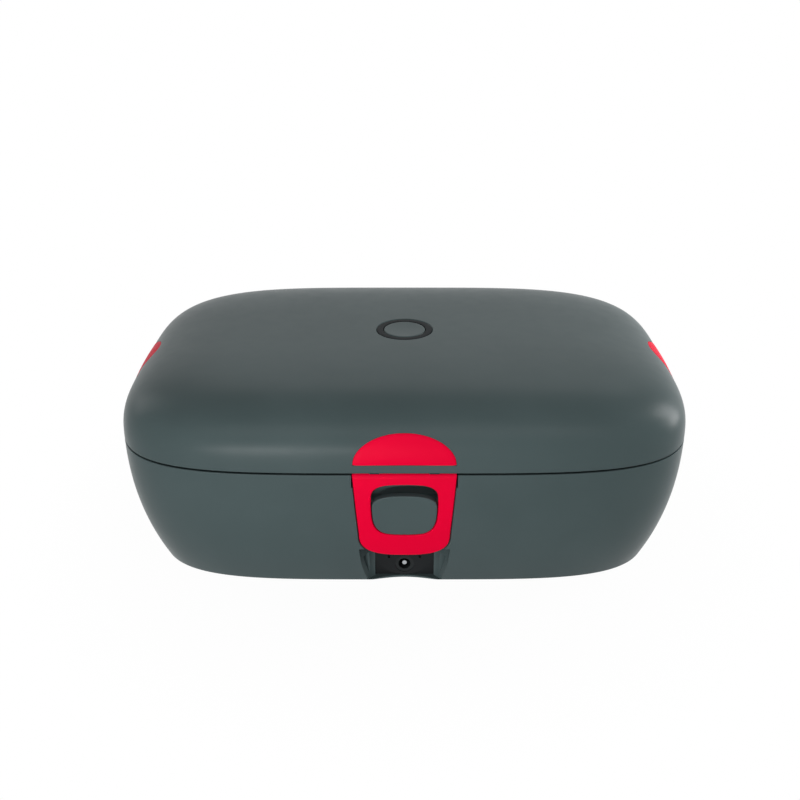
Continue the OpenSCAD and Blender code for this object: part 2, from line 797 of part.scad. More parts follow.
// Lug that stands out from the lower rim behind a latch and holds its pin
module lug(x) {
    translate([x - lug_w / 2, latch_r, latch_z]) {
        rotate([0, 90, 0]) cylinder(r = lug_r, h = lug_w);
        translate([0, 0, -lug_arm / 2]) cube([lug_w, trough_in - latch_r + 0.5, lug_arm]);
    }
}
module latch_bore(d) {
    translate([-lug_x - lug_w, latch_r, latch_z]) rotate([0, 90, 0])
        cylinder(d = d, h = 2 * (lug_x + lug_w));
}

module lid_shell() {
    color("#4b5859") difference() {
        union() {
            difference() {
                loft(lid_rings(0, z_lid));
                loft(lid_rings(wall, z_lid - 1));
            }
            for (s = sides_of_latches) at_side(s) translate([-hook_half - 1, wall - 0.5, z_lid])
                cube([2 * hook_half + 2, lip_in - wall + 0.5, lip_h]);
            for (p = lid_screw_places) translate([p[0], p[1], foam_z])
                cylinder(r = 3.2, h = skin_over(p[0], p[1]) - foam_z + 1.2);
            for (p = ear_places) translate([p[0], p[1], button_board_z + 1])
                cylinder(r = 3, h = skin_z - button_board_z);
        }
        for (s = sides_of_latches) at_side(s) cap_shape(s, 0.05);
        translate([0, 0, skin_z - 1]) cylinder(r = ring_r + 0.1, h = 10);
        for (x = base_knuckles) knuckle_space(x, knuckle_len);
        for (x = lid_knuckles) lid_arm_space(x, lid_knuckle_len);
        for (p = lid_screw_places) translate([p[0], p[1], foam_z - 1])
            cylinder(r = screw_r, h = 10);
        for (p = ear_places) translate([p[0], p[1], button_board_z - 1])
            cylinder(r = 1, h = skin_z - button_board_z - 0.5);
    }
}

module lid_liner() {
    rear_half = hinge_x + hinge_step + knuckle_len / 2 + 1;
    rear_gap = hinge_x - hinge_step - knuckle_len / 2 - 1;
    color("#202324") difference() {
        union() {
            slab(wall + seat_gap, liner_z, liner_t);
            slab_ring(wall + seat_gap, 1.5, z_seam - 1.3, liner_z - z_seam + 2);
        }
        for (s = sides_of_latches) at_side(s) translate([-latch_half - 1, -1, z_seam - 5])
            cube([2 * latch_half + 2, trough_in + 1.6, 12]);
        for (x = [-rear_half, rear_gap])
            translate([x, hinge_y - arm_in - 1, z_seam - 5]) cube([rear_half - rear_gap, 12, 12]);
        for (p = lid_screw_places) translate([p[0], p[1], liner_z - 1]) {
            cylinder(r = screw_r, h = 5);
            cylinder(r = 2.4, h = 2);
        }
        translate([0, contact_y - 4, liner_z - 1]) cylinder(r = 2, h = 5);
    }
}

module lid_gasket() {
    color("#d7d9d8") slab_ring(11, 3.2, gasket_low, liner_z - gasket_low);
}

module lid_insulation() {
    color("#e6e4dd") difference() {
        translate([0, 0, foam_z]) linear_extrude(foam_t)
            polygon(oval(body_w / 2 - 40.5, body_d / 2 - 29.5, plan_power));
        translate([0, 0, foam_z - 1]) cylinder(r = carrier_r + 10, h = lid_h);
    }
}

module lid_screws() {
    color("#b9bcbd") for (p = lid_screw_places) translate([p[0], p[1], liner_z + 1])
        screw(2.3, 0.9, screw_r, 8);
}

module contact_pads() {
    color("#d9b45a") for (x = contact_xs)
        translate([x - 1.2, contact_y, liner_z - 0.3]) cube([2.4, contact_w, 0.3]);
}

module lid_lead() {
    z = foam_z + foam_t + 3;
    color("#1c1c1c") tube([[0, contact_y - 4, liner_z + 0.1], [1, contact_y - 4.2, foam_z + 3],
        [6.5, contact_y - 8, foam_z + 11], [9, hinge_y - 31, z], [9, hinge_y - 51.5, z + 1],
        [9, 29.5, z + 0.6], [9, 24, button_board_z - 1.5], [8.5, 17, button_board_z - 4.5],
        [8, 10, button_board_z - 4.5], [8, 7, button_board_z - 2.5], [8, 7, button_board_z - 0.15]],
        1.4, [1, 0.1, 0.05]);
}

module light_ring() {
    color("#121516") difference() {
        union() {
            translate([0, 0, ring_low]) cylinder(r = ring_r, h = z_top - 0.1 - ring_low);
            translate([0, 0, ring_low]) cylinder(r = ring_r + 2.7, h = skin_z - 0.05 - ring_low);
        }
        translate([0, 0, ring_low - 1]) cylinder(r = button_r + ring_gap, h = 10);
    }
}

module button_cap() {
    color("#4b5859") {
        translate([0, 0, cap_flange_z]) cylinder(r = button_r, h = z_top - 0.05 - cap_flange_z);
        translate([0, 0, cap_flange_z]) cylinder(r = button_r + 2, h = 1.6);
        translate([0, 0, stem_z]) cylinder(r = 2.5, h = 1.1);
    }
}

module switch_plunger() {
    color("#2a2d30") translate([0, 0, stem_z - 1.7]) cylinder(r = 1.75, h = 1.7);
}

module tact_switch() {
    top = button_board_z + board_t;
    color("#8d9192") difference() {
        translate([-3.1, -3.1, top]) cube([6.2, 6.2, 2.4]);
        translate([0, 0, stem_z - 1.7 - button_travel - 0.1]) cylinder(r = 1.85, h = 5);
    }
}

module button_board() {
    color("#1f6b3a") translate([0, 0, button_board_z]) cylinder(r = carrier_r - 2.2, h = board_t);
}

module ring_lamps() {
    r = (button_r + ring_r) / 2;
    color("#f0e8c8") for (i = [0:7]) rotate(45 * i)
        translate([r - 1, -0.8, button_board_z + board_t]) cube([2, 1.6, 1]);
}

module button_carrier() {
    color("#2a2d2e") difference() {
        union() {
            translate([0, 0, carrier_z]) cylinder(r = carrier_r, h = skin_z - 0.05 - carrier_z);
            for (p = ear_places) translate([p[0], p[1], carrier_z]) cylinder(r = ear_r, h = 2);
        }
        translate([0, 0, button_board_z]) cylinder(r = carrier_r - 2, h = 30);
        translate([0, 0, carrier_z - 1]) cylinder(r = carrier_r - 5, h = 30);
        for (p = ear_places) translate([p[0], p[1], carrier_z - 1]) cylinder(r = 1, h = 6);
        for (p = ear_places) translate([p[0], p[1], carrier_z + 2]) cylinder(r = ear_r, h = 20);
    }
}

module carrier_screws() {
    color("#b9bcbd") for (p = ear_places) translate([p[0], p[1], carrier_z])
        screw(2.2, 1.3, 1, 6, 1.5);
}

module cap_front() {
    color("#ee0035") at_side("front") cap_shape("front", 0);
}

module cap_left() {
    color("#ee0035") at_side("left") cap_shape("left", 0);
}

module cap_right() {
    color("#ee0035") at_side("right") cap_shape("right", 0);
}

module latch() {
    difference() {
        union() {
            translate([-latch_half, latch_r, latch_z]) rotate([0, 90, 0])
                cylinder(r = latch_r, h = 2 * latch_half);
            intersection() {
                along(latch_half + 1) wall_layer(0, latch_t, z_seam - latch_len - 1, latch_z);
                through(-1, 30) latch_outline();
            }
            translate([-hook_half, hook_in, latch_z])
                cube([2 * hook_half, hook_t, hook_z + hook_h - latch_z]);
            translate([-hook_half, wall + 0.35, hook_z])
                cube([2 * hook_half, hook_in + hook_t - wall - 0.35, hook_h]);
        }
        through(-5, 30) window_outline();
        latch_bore(latch_pin_d + 2 * pin_gap);
        for (x = [-lug_x, lug_x]) translate([x - lug_w / 2 - seat_gap, latch_r, latch_z]) {
            rotate([0, 90, 0]) cylinder(r = lug_r + seat_gap, h = lug_w + 2 * seat_gap);
            translate([0, -lug_arm / 2 - seat_gap, -lug_arm / 2 - seat_gap])
                cube([lug_w + 2 * seat_gap, 10, 10]);
        }
    }
}

module latch_front() {
    color("#ee0035") at_side("front") latch();
}

module latch_left() {
    color("#ee0035") at_side("left") latch();
}

module latch_right() {
    color("#ee0035") at_side("right") latch();
}

module latch_pins() {
    half = lug_x + lug_w / 2 + 1.7;
    color("#c4c7c8") for (s = sides_of_latches) at_side(s)
        translate([-half, latch_r, latch_z]) rotate([0, 90, 0])
            cylinder(d = latch_pin_d, h = 2 * half);
}

base_shell();
bottom_cover();
cover_screws();
rubber_feet();
base_liner();
food_dish();
heating_plate();
heating_foil();
plate_insulation();
thermal_cutout();
temperature_sensor();
control_board();
board_components();
board_screws();
inlet_housing();
inlet_jack();
inlet_pin();
inlet_lead();
heater_lead();
contact_block();
contact_pins();
contact_lead();
hinge_base();
hinge_lid();
hinge_pins();
lid_shell();
lid_liner();
lid_gasket();
lid_insulation();
lid_screws();
contact_pads();
lid_lead();
light_ring();
button_cap();
switch_plunger();
tact_switch();
button_board();
ring_lamps();
button_carrier();
carrier_screws();
cap_front();
cap_left();
cap_right();
latch_front();
latch_left();
latch_right();
latch_pins();
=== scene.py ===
import json
import bpy
import numpy as np
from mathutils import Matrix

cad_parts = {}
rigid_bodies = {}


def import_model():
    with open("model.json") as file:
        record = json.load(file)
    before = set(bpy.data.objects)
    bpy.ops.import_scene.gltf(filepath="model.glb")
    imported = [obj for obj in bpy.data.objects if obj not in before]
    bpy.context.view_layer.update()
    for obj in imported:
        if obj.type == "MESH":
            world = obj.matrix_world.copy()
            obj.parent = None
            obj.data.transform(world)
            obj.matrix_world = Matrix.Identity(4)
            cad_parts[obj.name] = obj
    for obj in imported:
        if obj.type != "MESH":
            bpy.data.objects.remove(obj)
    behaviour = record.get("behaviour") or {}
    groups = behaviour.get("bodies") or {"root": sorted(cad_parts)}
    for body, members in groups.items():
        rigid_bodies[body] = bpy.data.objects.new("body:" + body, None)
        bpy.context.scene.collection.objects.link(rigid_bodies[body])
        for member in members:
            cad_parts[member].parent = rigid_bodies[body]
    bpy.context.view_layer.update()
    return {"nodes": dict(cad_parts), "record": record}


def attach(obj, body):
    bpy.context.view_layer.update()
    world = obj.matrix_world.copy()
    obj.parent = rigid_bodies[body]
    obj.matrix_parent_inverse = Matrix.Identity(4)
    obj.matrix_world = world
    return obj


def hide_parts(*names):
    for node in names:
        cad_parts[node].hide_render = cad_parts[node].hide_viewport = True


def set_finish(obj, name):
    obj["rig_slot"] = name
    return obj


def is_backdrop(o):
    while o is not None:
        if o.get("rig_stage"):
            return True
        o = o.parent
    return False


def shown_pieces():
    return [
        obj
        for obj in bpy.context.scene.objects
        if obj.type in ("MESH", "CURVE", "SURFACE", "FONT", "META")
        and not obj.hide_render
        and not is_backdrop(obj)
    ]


for start in list(bpy.data.objects):  # the start-up cube, lamp and camera
    bpy.data.objects.remove(start)
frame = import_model()

scene = bpy.context.scene
scene.view_settings.view_transform = "Standard"
mm = 0.001

# The box itself, in millimetres. Change a size here and every surface below follows it.
body = {
    "width": 265.0, "depth": 179.0,
    "footHeight": 1.0, "baseHeight": 64.5, "lidHeight": 32.0, "seamGap": 0.9,
    "planPower": 4.45, "sidePower": 5.6, "crownPower": 3.06, "crownPlanPower": 3.0,
    "wallLean": 12.9, "leanPower": 2.13, "footRoundWidth": 9.2, "footRoundHeight": 1.6,
    "wall": 2.4, "columns": 480,
}
halfWidth, halfDepth = body["width"] / 2, body["depth"] / 2
zBase = body["footHeight"]
zSeam = zBase + body["baseHeight"]
zRim = zSeam - body["seamGap"] / 2
zLid = zSeam + body["seamGap"] / 2
zTop = zSeam + body["lidHeight"]


# Camera, lights and floor

view = {"lens": 46.6, "sensorWidth": 36, "shiftX": -0.0056, "shiftY": -0.0155,
        "distance": 0.5272, "elevation": 24.77, "aimHeight": zSeam * mm}  # metres and degrees
tilt = np.radians(view["elevation"])
cameraData = bpy.data.cameras.new("camera")
cameraData.lens, cameraData.sensor_width = view["lens"], view["sensorWidth"]
cameraData.shift_x, cameraData.shift_y = view["shiftX"], view["shiftY"]
cameraData.clip_start = 0.01
camera = bpy.data.objects.new("camera", cameraData)
camera.location = (0, -view["distance"] * np.cos(tilt),
                   view["aimHeight"] + view["distance"] * np.sin(tilt))
camera.rotation_euler = (np.pi / 2 - tilt, 0, 0)
scene.collection.objects.link(camera)
scene.camera = camera
print("camera set")


def linear(hexColour):
    # sRGB to linear: c / 12.92 below 0.04045, otherwise ((c + 0.055) / 1.055) to the power 2.4
    c = np.array([int(hexColour[i:i + 2], 16) for i in (1, 3, 5)]) / 255
    c = np.where(c <= 0.04045, c / 12.92, ((c + 0.055) / 1.055) ** 2.4)
    return (*[float(v) for v in c], 1.0)


def addNode(tree, kind, links=None, values=None, **settings):
    # one node with its settings, its socket values and its incoming links
    node = tree.nodes.new(kind)
    for name, value in settings.items():
        setattr(node, name, value)
    for socket, value in (values or {}).items():
        node.inputs[socket].default_value = value
    for socket, source in (links or {}).items():
        tree.links.new(source, node.inputs[socket])
    return node


def newMaterial(name):
    material = bpy.data.materials.new(name)
    material.use_nodes = True
    material.node_tree.nodes.clear()
    return material, material.node_tree


def softLight(name, place, aim, size, power):
    # rectangular lamp at a place, turned until it faces what it aims at
    data = bpy.data.lights.new(name, "AREA")
    data.shape, data.energy = "RECTANGLE", power
    data.size, data.size_y = size
    light = bpy.data.objects.new(name, data)
    light.location = place
    away = np.array(aim, float) - np.array(place, float)
    flat = np.hypot(away[0], away[1])
    light.rotation_euler = (np.arctan2(flat, -away[2]), 0, np.arctan2(-away[0], away[1]))
    scene.collection.objects.link(light)


# Soft boxes, in metres and watts: where each stands, what it aims at, its size and its power
studio = {
    "key softbox": ((0, -1.05, 0.85), (0, 0, 0.05), (1.5, 0.7), 5.8),
    "left softbox": ((-0.8, 0.4, 0.5), (0, 0, 0.07), (0.4, 0.5), 1.0),
    "right softbox": ((0.85, 0.2, 0.32), (0, 0, 0.07), (0.35, 0.6), 6.2),
    "back softbox": ((0.1, 0.9, 0.95), (0, 0, 0.05), (1.2, 0.3), 1.5),
    "low strip": ((-0.17, -0.54, 0.016), (-0.06, -0.09, 0.07), (0.24, 0.02), 1.3),
}
for name, (place, aim, size, power) in studio.items():
    softLight(name, place, aim, size, power)

# White surroundings: the paper sweep is a hair darker near the box and keeps its soft shadow
surroundings = {"worldLight": 0.24, "paper": "#c8c8c8", "halfSize": 3.0,
                "nearShade": 0.975, "nearTo": 0.1, "whiteFrom": 0.2}


def shownWhite(tree):
    # 1 for rays from the camera, from a reflection or through glass, and 0 for light on the box
    rays = addNode(tree, "ShaderNodeLightPath")
    bounced = addNode(tree, "ShaderNodeMath", {0: rays.outputs["Is Glossy Ray"],
                                               1: rays.outputs["Is Transmission Ray"]},
                      operation="MAXIMUM")
    seen = addNode(tree, "ShaderNodeMath", {0: rays.outputs["Is Camera Ray"],
                                            1: bounced.outputs[0]}, operation="MAXIMUM")
    return seen.outputs[0]


world = bpy.data.worlds.new("studio")
world.use_nodes = True
scene.world = world
tree = world.node_tree
tree.nodes.clear()
strength = addNode(tree, "ShaderNodeMapRange", {"Value": shownWhite(tree)},
                   {"To Min": surroundings["worldLight"], "To Max": 1.0})
sky = addNode(tree, "ShaderNodeBackground", {"Strength": strength.outputs[0]},
              {"Color": linear("#ffffff")})
addNode(tree, "ShaderNodeOutputWorld", {"Surface": sky.outputs[0]})

floorMaterial, tree = newMaterial("white paper floor")
paper = addNode(tree, "ShaderNodeBsdfDiffuse", values={"Color": linear(surroundings["paper"])})
glow = addNode(tree, "ShaderNodeEmission", values={"Color": linear("#ffffff"), "Strength": 1.0})
spot = addNode(tree, "ShaderNodeTexCoord")
away = addNode(tree, "ShaderNodeVectorMath", {0: spot.outputs["Object"]}, operation="LENGTH")
fade = addNode(tree, "ShaderNodeMapRange", {"Value": away.outputs["Value"]},
               {"From Min": surroundings["nearTo"], "From Max": surroundings["whiteFrom"],
                "To Min": surroundings["nearShade"], "To Max": 1.0})
share = addNode(tree, "ShaderNodeMath", {0: fade.outputs[0], 1: shownWhite(tree)},
                operation="MULTIPLY")
blend = addNode(tree, "ShaderNodeMixShader", {0: share.outputs[0], 1: paper.outputs[0],
                                              2: glow.outputs[0]})
addNode(tree, "ShaderNodeOutputMaterial", {"Surface": blend.outputs[0]})
half = surroundings["halfSize"]
floorMesh = bpy.data.meshes.new("floor")
floorMesh.from_pydata([(-half, -half, 0), (half, -half, 0), (half, half, 0), (-half, half, 0)],
                      [], [(0, 1, 2, 3)])
floorMesh.materials.append(floorMaterial)
floor = bpy.data.objects.new("floor", floorMesh)
scene.collection.objects.link(floor)
floor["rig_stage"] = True
print("lights and floor set")


# Shapes shared by the pieces. Lengths in millimetres; insets are distances in from the seam line.

def baseInset(z):
    # lean: wallLean times (1 - h/height) to the leanPower, plus a quarter ellipse round the foot
    h = np.asarray(z, float) - zBase
    lean = body["wallLean"] * np.clip(1 - h / body["baseHeight"], 0, None) ** body["leanPower"]
    foot = np.clip(1 - h / body["footRoundHeight"], 0, 1)
    return lean + body["footRoundWidth"] * (1 - np.sqrt(1 - foot ** 2))


def lidShare(z):
    # share of the plan left at height z: (1 - (h/height)^crownPower)^(1/sidePower)
    h = np.clip((np.asarray(z, float) - zSeam) / body["lidHeight"], 0, 1)
    return (1 - h ** body["crownPower"]) ** (1 / body["sidePower"])


def lidPower(share):
    # power of the plan: the wall's at the full plan, the crown's where the plan closes, by share
    return body["planPower"] * share + body["crownPlanPower"] * (1 - share)


def ovalRows(halfX, halfY, power, heights):
    # superellipse rings by direction: r = (|cos/a|^p + |sin/b|^p)^(-1/p)
    angle = np.linspace(0, 2 * np.pi, body["columns"], endpoint=False)[None, :]
    a, b, p, z = (np.broadcast_to(np.asarray(v, float).reshape(-1, 1), (len(heights), 1))
                  for v in (halfX, halfY, power, heights))
    c, s = np.cos(angle), np.sin(angle)
    r = (np.abs(c / a) ** p + np.abs(s / b) ** p) ** (-1 / p)
    return np.stack([r * c, r * s, np.broadcast_to(z, r.shape)], axis=-1)


def planRows(profile):
    # profile of (inset, height) carried round the plan of the box
    inset, z = np.asarray(profile, float).T
    return ovalRows(halfWidth - inset, halfDepth - inset, body["planPower"], z)


def turnedRows(profile, centre=(0, 0), columns=96):
    # profile of (radius, height) turned about the vertical through centre
    r, z = np.asarray(profile, float).T
    angle = np.linspace(0, 2 * np.pi, columns, endpoint=False)
    return np.stack([centre[0] + r[:, None] * np.cos(angle), centre[1] + r[:, None] * np.sin(angle),
                     np.repeat(z[:, None], columns, 1)], axis=-1)


def rounded(corners, radii, steps=5, closed=False):
    # polyline whose corners become arcs: each corner gives way to a circle touching both its sides
    corners = np.asarray(corners, float)
    radii = np.broadcast_to(np.asarray(radii, float), len(corners))
    points, last = [], len(corners) - 1
    for i, (corner, radius) in enumerate(zip(corners, radii)):
        if radius <= 0 or (not closed and i in (0, last)):
            points.append(corner[None])
            continue
        back, on = corners[i - 1] - corner, corners[(i + 1) % (last + 1)] - corner
        lengths = np.linalg.norm(back), np.linalg.norm(on)
        back, on = back / lengths[0], on / lengths[1]
        half = np.arccos(np.clip(back @ on, -1, 1)) / 2
        reach = min(radius / np.tan(half), 0.499 * min(lengths))
        middle = corner + (back + on) / np.linalg.norm(back + on) * reach / np.cos(half)
        start, end = corner + back * reach - middle, corner + on * reach - middle
        turn = np.arctan2(start[0] * end[1] - start[1] * end[0], start @ end)
        t = np.linspace(0, turn, steps)[:, None]
        points.append(middle + np.cos(t) * start + np.sin(t) * np.array([-start[1], start[0]]))
    return np.concatenate(points)


def solid(name, rows, ring=False):
    # closed mesh through rows of points; a ring joins its last row to its first, otherwise both ends
    # close on a middle point. Faces are turned outwards by the sign of the enclosed volume.
    rows = np.asarray(rows, float)
    n, m = rows.shape[:2]
    points = rows.reshape(-1, 3)
    i = np.arange(n if ring else n - 1)[:, None]
    j = np.arange(m)[None, :]
    a, b = i * m, ((i + 1) % n) * m
    k = (j + 1) % m
    quads = np.stack([a + j, a + k, b + k, b + j], axis=-1).reshape(-1, 4)
    faces = quads.tolist()
    triangles = np.concatenate([quads[:, [0, 1, 2]], quads[:, [0, 2, 3]]])
    if not ring:
        points = np.concatenate([points, rows[[0, -1]].mean(axis=1)])
        j = np.arange(m)
        k = (j + 1) % m
        low = np.stack([np.full(m, n * m), k, j], axis=-1)
        high = np.stack([np.full(m, n * m + 1), (n - 1) * m + j, (n - 1) * m + k], axis=-1)
        faces += low.tolist() + high.tolist()
        triangles = np.concatenate([triangles, low, high])
    corner = points[triangles]
    volume = np.einsum("ij,ij->i", corner[:, 0], np.cross(corner[:, 1], corner[:, 2])).sum()
    if volume < 0:
        faces = [face[::-1] for face in faces]
    mesh = bpy.data.meshes.new(name)
    mesh.from_pydata((points * mm).tolist(), [], faces)
    mesh.update()
    piece = bpy.data.objects.new(name, mesh)
    scene.collection.objects.link(piece)
    return piece


def combine(target, tools, operation="DIFFERENCE"):
    # cuts the tools out of the target, or joins them to it, one after another
    for tool in tools:
        modifier = target.modifiers.new(operation.lower(), "BOOLEAN")
        modifier.operation, modifier.solver, modifier.object = operation, "MANIFOLD", tool
    graph = bpy.context.evaluated_depsgraph_get()
    mesh = bpy.data.meshes.new_from_object(target.evaluated_get(graph))
    target.modifiers.clear()
    old, target.data = target.data, mesh
    bpy.data.meshes.remove(old)
    for tool in tools:
        bpy.data.objects.remove(tool)


def finish(piece, node, carrier, slot, angle=32):
    # soft shading, crisp where faces meet at more than the angle; then the body that the piece
    # rides on, the solid that it stands for and its finish
    piece.data.shade_smooth()
    piece.data.set_sharp_from_angle(angle=np.radians(angle))
    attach(piece, carrier)
    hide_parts(node)
    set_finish(piece, slot)


def block(name, low, high):
    # rectangular cutter between two corners, as a stack of two rings
    (x0, y0, z0), (x1, y1, z1) = low, high
    ring = [(x0, y0), (x1, y0), (x1, y1), (x0, y1)]
    return solid(name, [[(x, y, z) for x, y in ring] for z in (z0, z1)])


def barrel(name, start, end, radius, columns=48):
    # round bar between two points: circles across the line that joins them
    start, end = np.array(start, float), np.array(end, float)
    way = (end - start) / np.linalg.norm(end - start)
    side = np.cross(way, [0.3, 0.5, 0.81])
    side /= np.linalg.norm(side)
    up = np.cross(way, side)
    t = np.linspace(0, 2 * np.pi, columns, endpoint=False)[:, None]
    circle = radius * (np.cos(t) * side + np.sin(t) * up)
    return solid(name, [start + circle, end + circle])


# Each latch is worked out as the front one: x along the side, y inward from the seam line, z up.

def toSide(points, side):
    # front: moved to the front edge; left and right: turned a quarter and moved to that edge
    x, y, z = np.moveaxis(np.asarray(points, float), -1, 0)
    if side == "front":
        return np.stack([x, y - halfDepth, z], axis=-1)
    if side == "left":
        return np.stack([y - halfWidth, -x, z], axis=-1)
    return np.stack([halfWidth - y, x, z], axis=-1)


def baseSkin(x, z, side):
    # depth of the lower wall's surface: b - (b - i) (1 - (|x|/(a - i))^p)^(1/p), i the inset at z
    a, b = (halfWidth, halfDepth) if side == "front" else (halfDepth, halfWidth)
    inset, p = baseInset(z), body["planPower"]
    return b - (b - inset) * (1 - (np.abs(x) / (a - inset)) ** p) ** (1 / p)


def lidSkin(x, z, side):
    # the same for the lid, whose plan shrinks by its share at z
    a, b = (halfWidth, halfDepth) if side == "front" else (halfDepth, halfWidth)
    share = lidShare(z)
    p = lidPower(share)
    return b - b * share * (1 - (np.abs(x) / (a * share)) ** p) ** (1 / p)


def quarterOval(halfX, halfZ, power, steps=40):
    # from (halfX, 0) to (0, halfZ): (a cos^(2/p), b sin^(2/p))
    t = np.linspace(0, np.pi / 2, steps)
    return np.stack([halfX * np.cos(t) ** (2 / power), halfZ * np.sin(t) ** (2 / power)], axis=-1)


def mirrored(right):
    # closed outline from its right half, listed from the bottom middle round to the top middle
    left = right[::-1] * [-1, 1]
    return np.concatenate([right, left])


def byDirection(outline, centre, count):
    # the outline's points at even directions from centre: distance interpolated over direction
    relative = np.asarray(outline) - centre
    turn = np.arctan2(relative[:, 1], relative[:, 0])
    order = np.argsort(turn)
    turn, reach = turn[order], np.linalg.norm(relative, axis=1)[order]
    angle = np.linspace(-np.pi, np.pi, count, endpoint=False)
    return angle, np.interp(angle, turn, reach, period=2 * np.pi)


def edgeArc(radius, depth):
    # how far a rounded edge still stands back at a depth: r - sqrt(r^2 - (r - d)^2)
    return radius - np.sqrt(radius ** 2 - (radius - depth) ** 2)


def pocket(name, outline, side, skin, depths):
    # rows of one outline that follow the skin at each depth
    x, z = np.asarray(outline, float).T
    y = skin(x, z, side) + np.asarray(depths, float)[:, None]
    x, z = np.broadcast_to(x, y.shape), np.broadcast_to(z, y.shape)
    return solid(name, toSide(np.stack([x, y, z], axis=-1), side))


sides = ("front", "left", "right")
past = 2.0  # how far a cutter stands out past what it cuts


# Base shell

latchSizes = {
    "half": 22.8, "lowHalf": 20.4, "length": 45.5, "corner": 32.5, "cornerPower": 2.75,
    "thickness": 3.0, "barrelRadius": 2.4, "topGap": 0.3, "topRound": 1.0, "edgeRound": 0.7,
    "windowHalf": 14.7, "windowTop": 5.5, "windowMiddle": 14.0, "windowLow": 32.8,
    "windowHighPower": 3.4, "windowLowPower": 3.8, "catchTop": 11.1, "catchMiddle": 17.5,
    "catchPower": 2.65, "catchHollow": 3.8, "catchRound": 0.5, "swingGap": 0.35, "recess": 3.3,
    "recessRound": 0.5, "centre": 20.0, "backing": 3.0,
    "troughIn": 8.4, "troughHeight": 6.7, "lugX": 13.0, "lugWidth": 4.0, "lugRadius": 1.9,
    "lugArm": 2.3, "lugRoot": 0.5, "pin": 1.8, "pinGap": 0.05, "hookHalf": 8.0, "hookGap": 0.25,
    "hookStem": 1.3, "hookTip": 1.1, "seatGap": 0.3, "slotReach": 9.0,
}
latchTop = zLid - latchSizes["topGap"]
latchAxis = latchTop - latchSizes["barrelRadius"]
latchCentre = np.array([0, zSeam - latchSizes["centre"]])

inner = {
    "rimIn": 10.2, "ledgeIn": 13.0, "floorIn": 24.0, "coverSeatIn": 30.0,
    "ledgeHeight": zSeam - 7, "flangeHeight": zSeam - 3.4, "floorTop": zBase + 5.4,
    "grooveIn": (1.0, 5.0), "grooveDepth": 2.0, "coverTop": zBase + 2.4,
    "contactHalf": 9.0, "contactNear": 6.0, "contactFar": 9.6,
}
scoop = {
    "top": zBase + 23, "mouth": 21.3, "foot": 18.6, "back": 13.7, "depth": 16.0, "flare": 11.0,
    "flarePower": 0.74, "backFrom": 13.5, "lipTop": zBase + 1.4, "archDepth": 3.8, "archHalf": 16.3,
    "gripHalf": 14.0, "gripIn": 14.6, "gripLow": zBase + 8, "gripRound": 3.0, "seatDepth": 2.4,
    "seatTop": zBase + 17.5, "inletHeight": zBase + 7.7, "tubeRadius": 5.4, "tubeBack": 31.0,
}
hinge = {
    "y": halfDepth, "x": 36.0, "outer": 8.0, "middle": 12.0, "step": 10.3, "radius": 3.0,
    "gap": 0.4, "armIn": 7.0, "armHeight": 6.0,
}
outerKnuckles = [s * hinge["x"] + k * hinge["step"] for s in (-1, 1) for k in (-1, 1)]
middleKnuckles = [-hinge["x"], hinge["x"]]


def latchOutline(grow=0.0, top=latchTop):
    # straight top, sides that taper to the corner height, then quarter superellipses to the foot
    s = latchSizes
    top = top + grow
    corner = zSeam - s["corner"]
    low = quarterOval(s["lowHalf"] + grow, s["length"] - s["corner"] + grow, s["cornerPower"])
    low = np.stack([low[:, 0], corner - low[:, 1]], axis=-1)[::-1]
    side = np.array([[s["lowHalf"] + grow, corner], [s["half"] + grow, top], [0, top]])
    edge = rounded(side, s["topRound"], 8)
    straight = np.linspace(edge[0], edge[1], 30)
    over = np.linspace(edge[-2], edge[-1], 30)
    return mirrored(np.concatenate([low, straight[1:], edge[2:-2], over]))


def windowOutline(inset=0.0):
    # quarter superellipses below and above the window's middle height, brought in by the inset
    s = latchSizes
    half, middle = s["windowHalf"] - inset, s["windowMiddle"]
    low = quarterOval(half, s["windowLow"] - middle - inset, s["windowLowPower"])[::-1] * [1, -1]
    high = quarterOval(half, middle - s["windowTop"] - inset, s["windowHighPower"])[1:]
    return mirrored(np.concatenate([low, high]) + [0, zSeam - middle])


def catchReach(count):
    # smaller of an arch on straight sides and the window brought in by the swing gap
    s = latchSizes
    half, low = s["windowHalf"] - s["swingGap"], zSeam - s["windowLow"] - s["backing"]
    middle = zSeam - s["catchMiddle"]
    foot = np.linspace([0, low], [half, low], 40)
    side = np.linspace([half, low], [half, middle], 60)[1:]
    arch = quarterOval(half, s["catchMiddle"] - s["catchTop"], s["catchPower"])[1:] + [0, middle]
    _, tall = byDirection(mirrored(np.concatenate([foot, side, arch])), latchCentre, count)
    _, inset = byDirection(windowOutline(s["swingGap"]), latchCentre, count)
    return np.minimum(tall, inset)


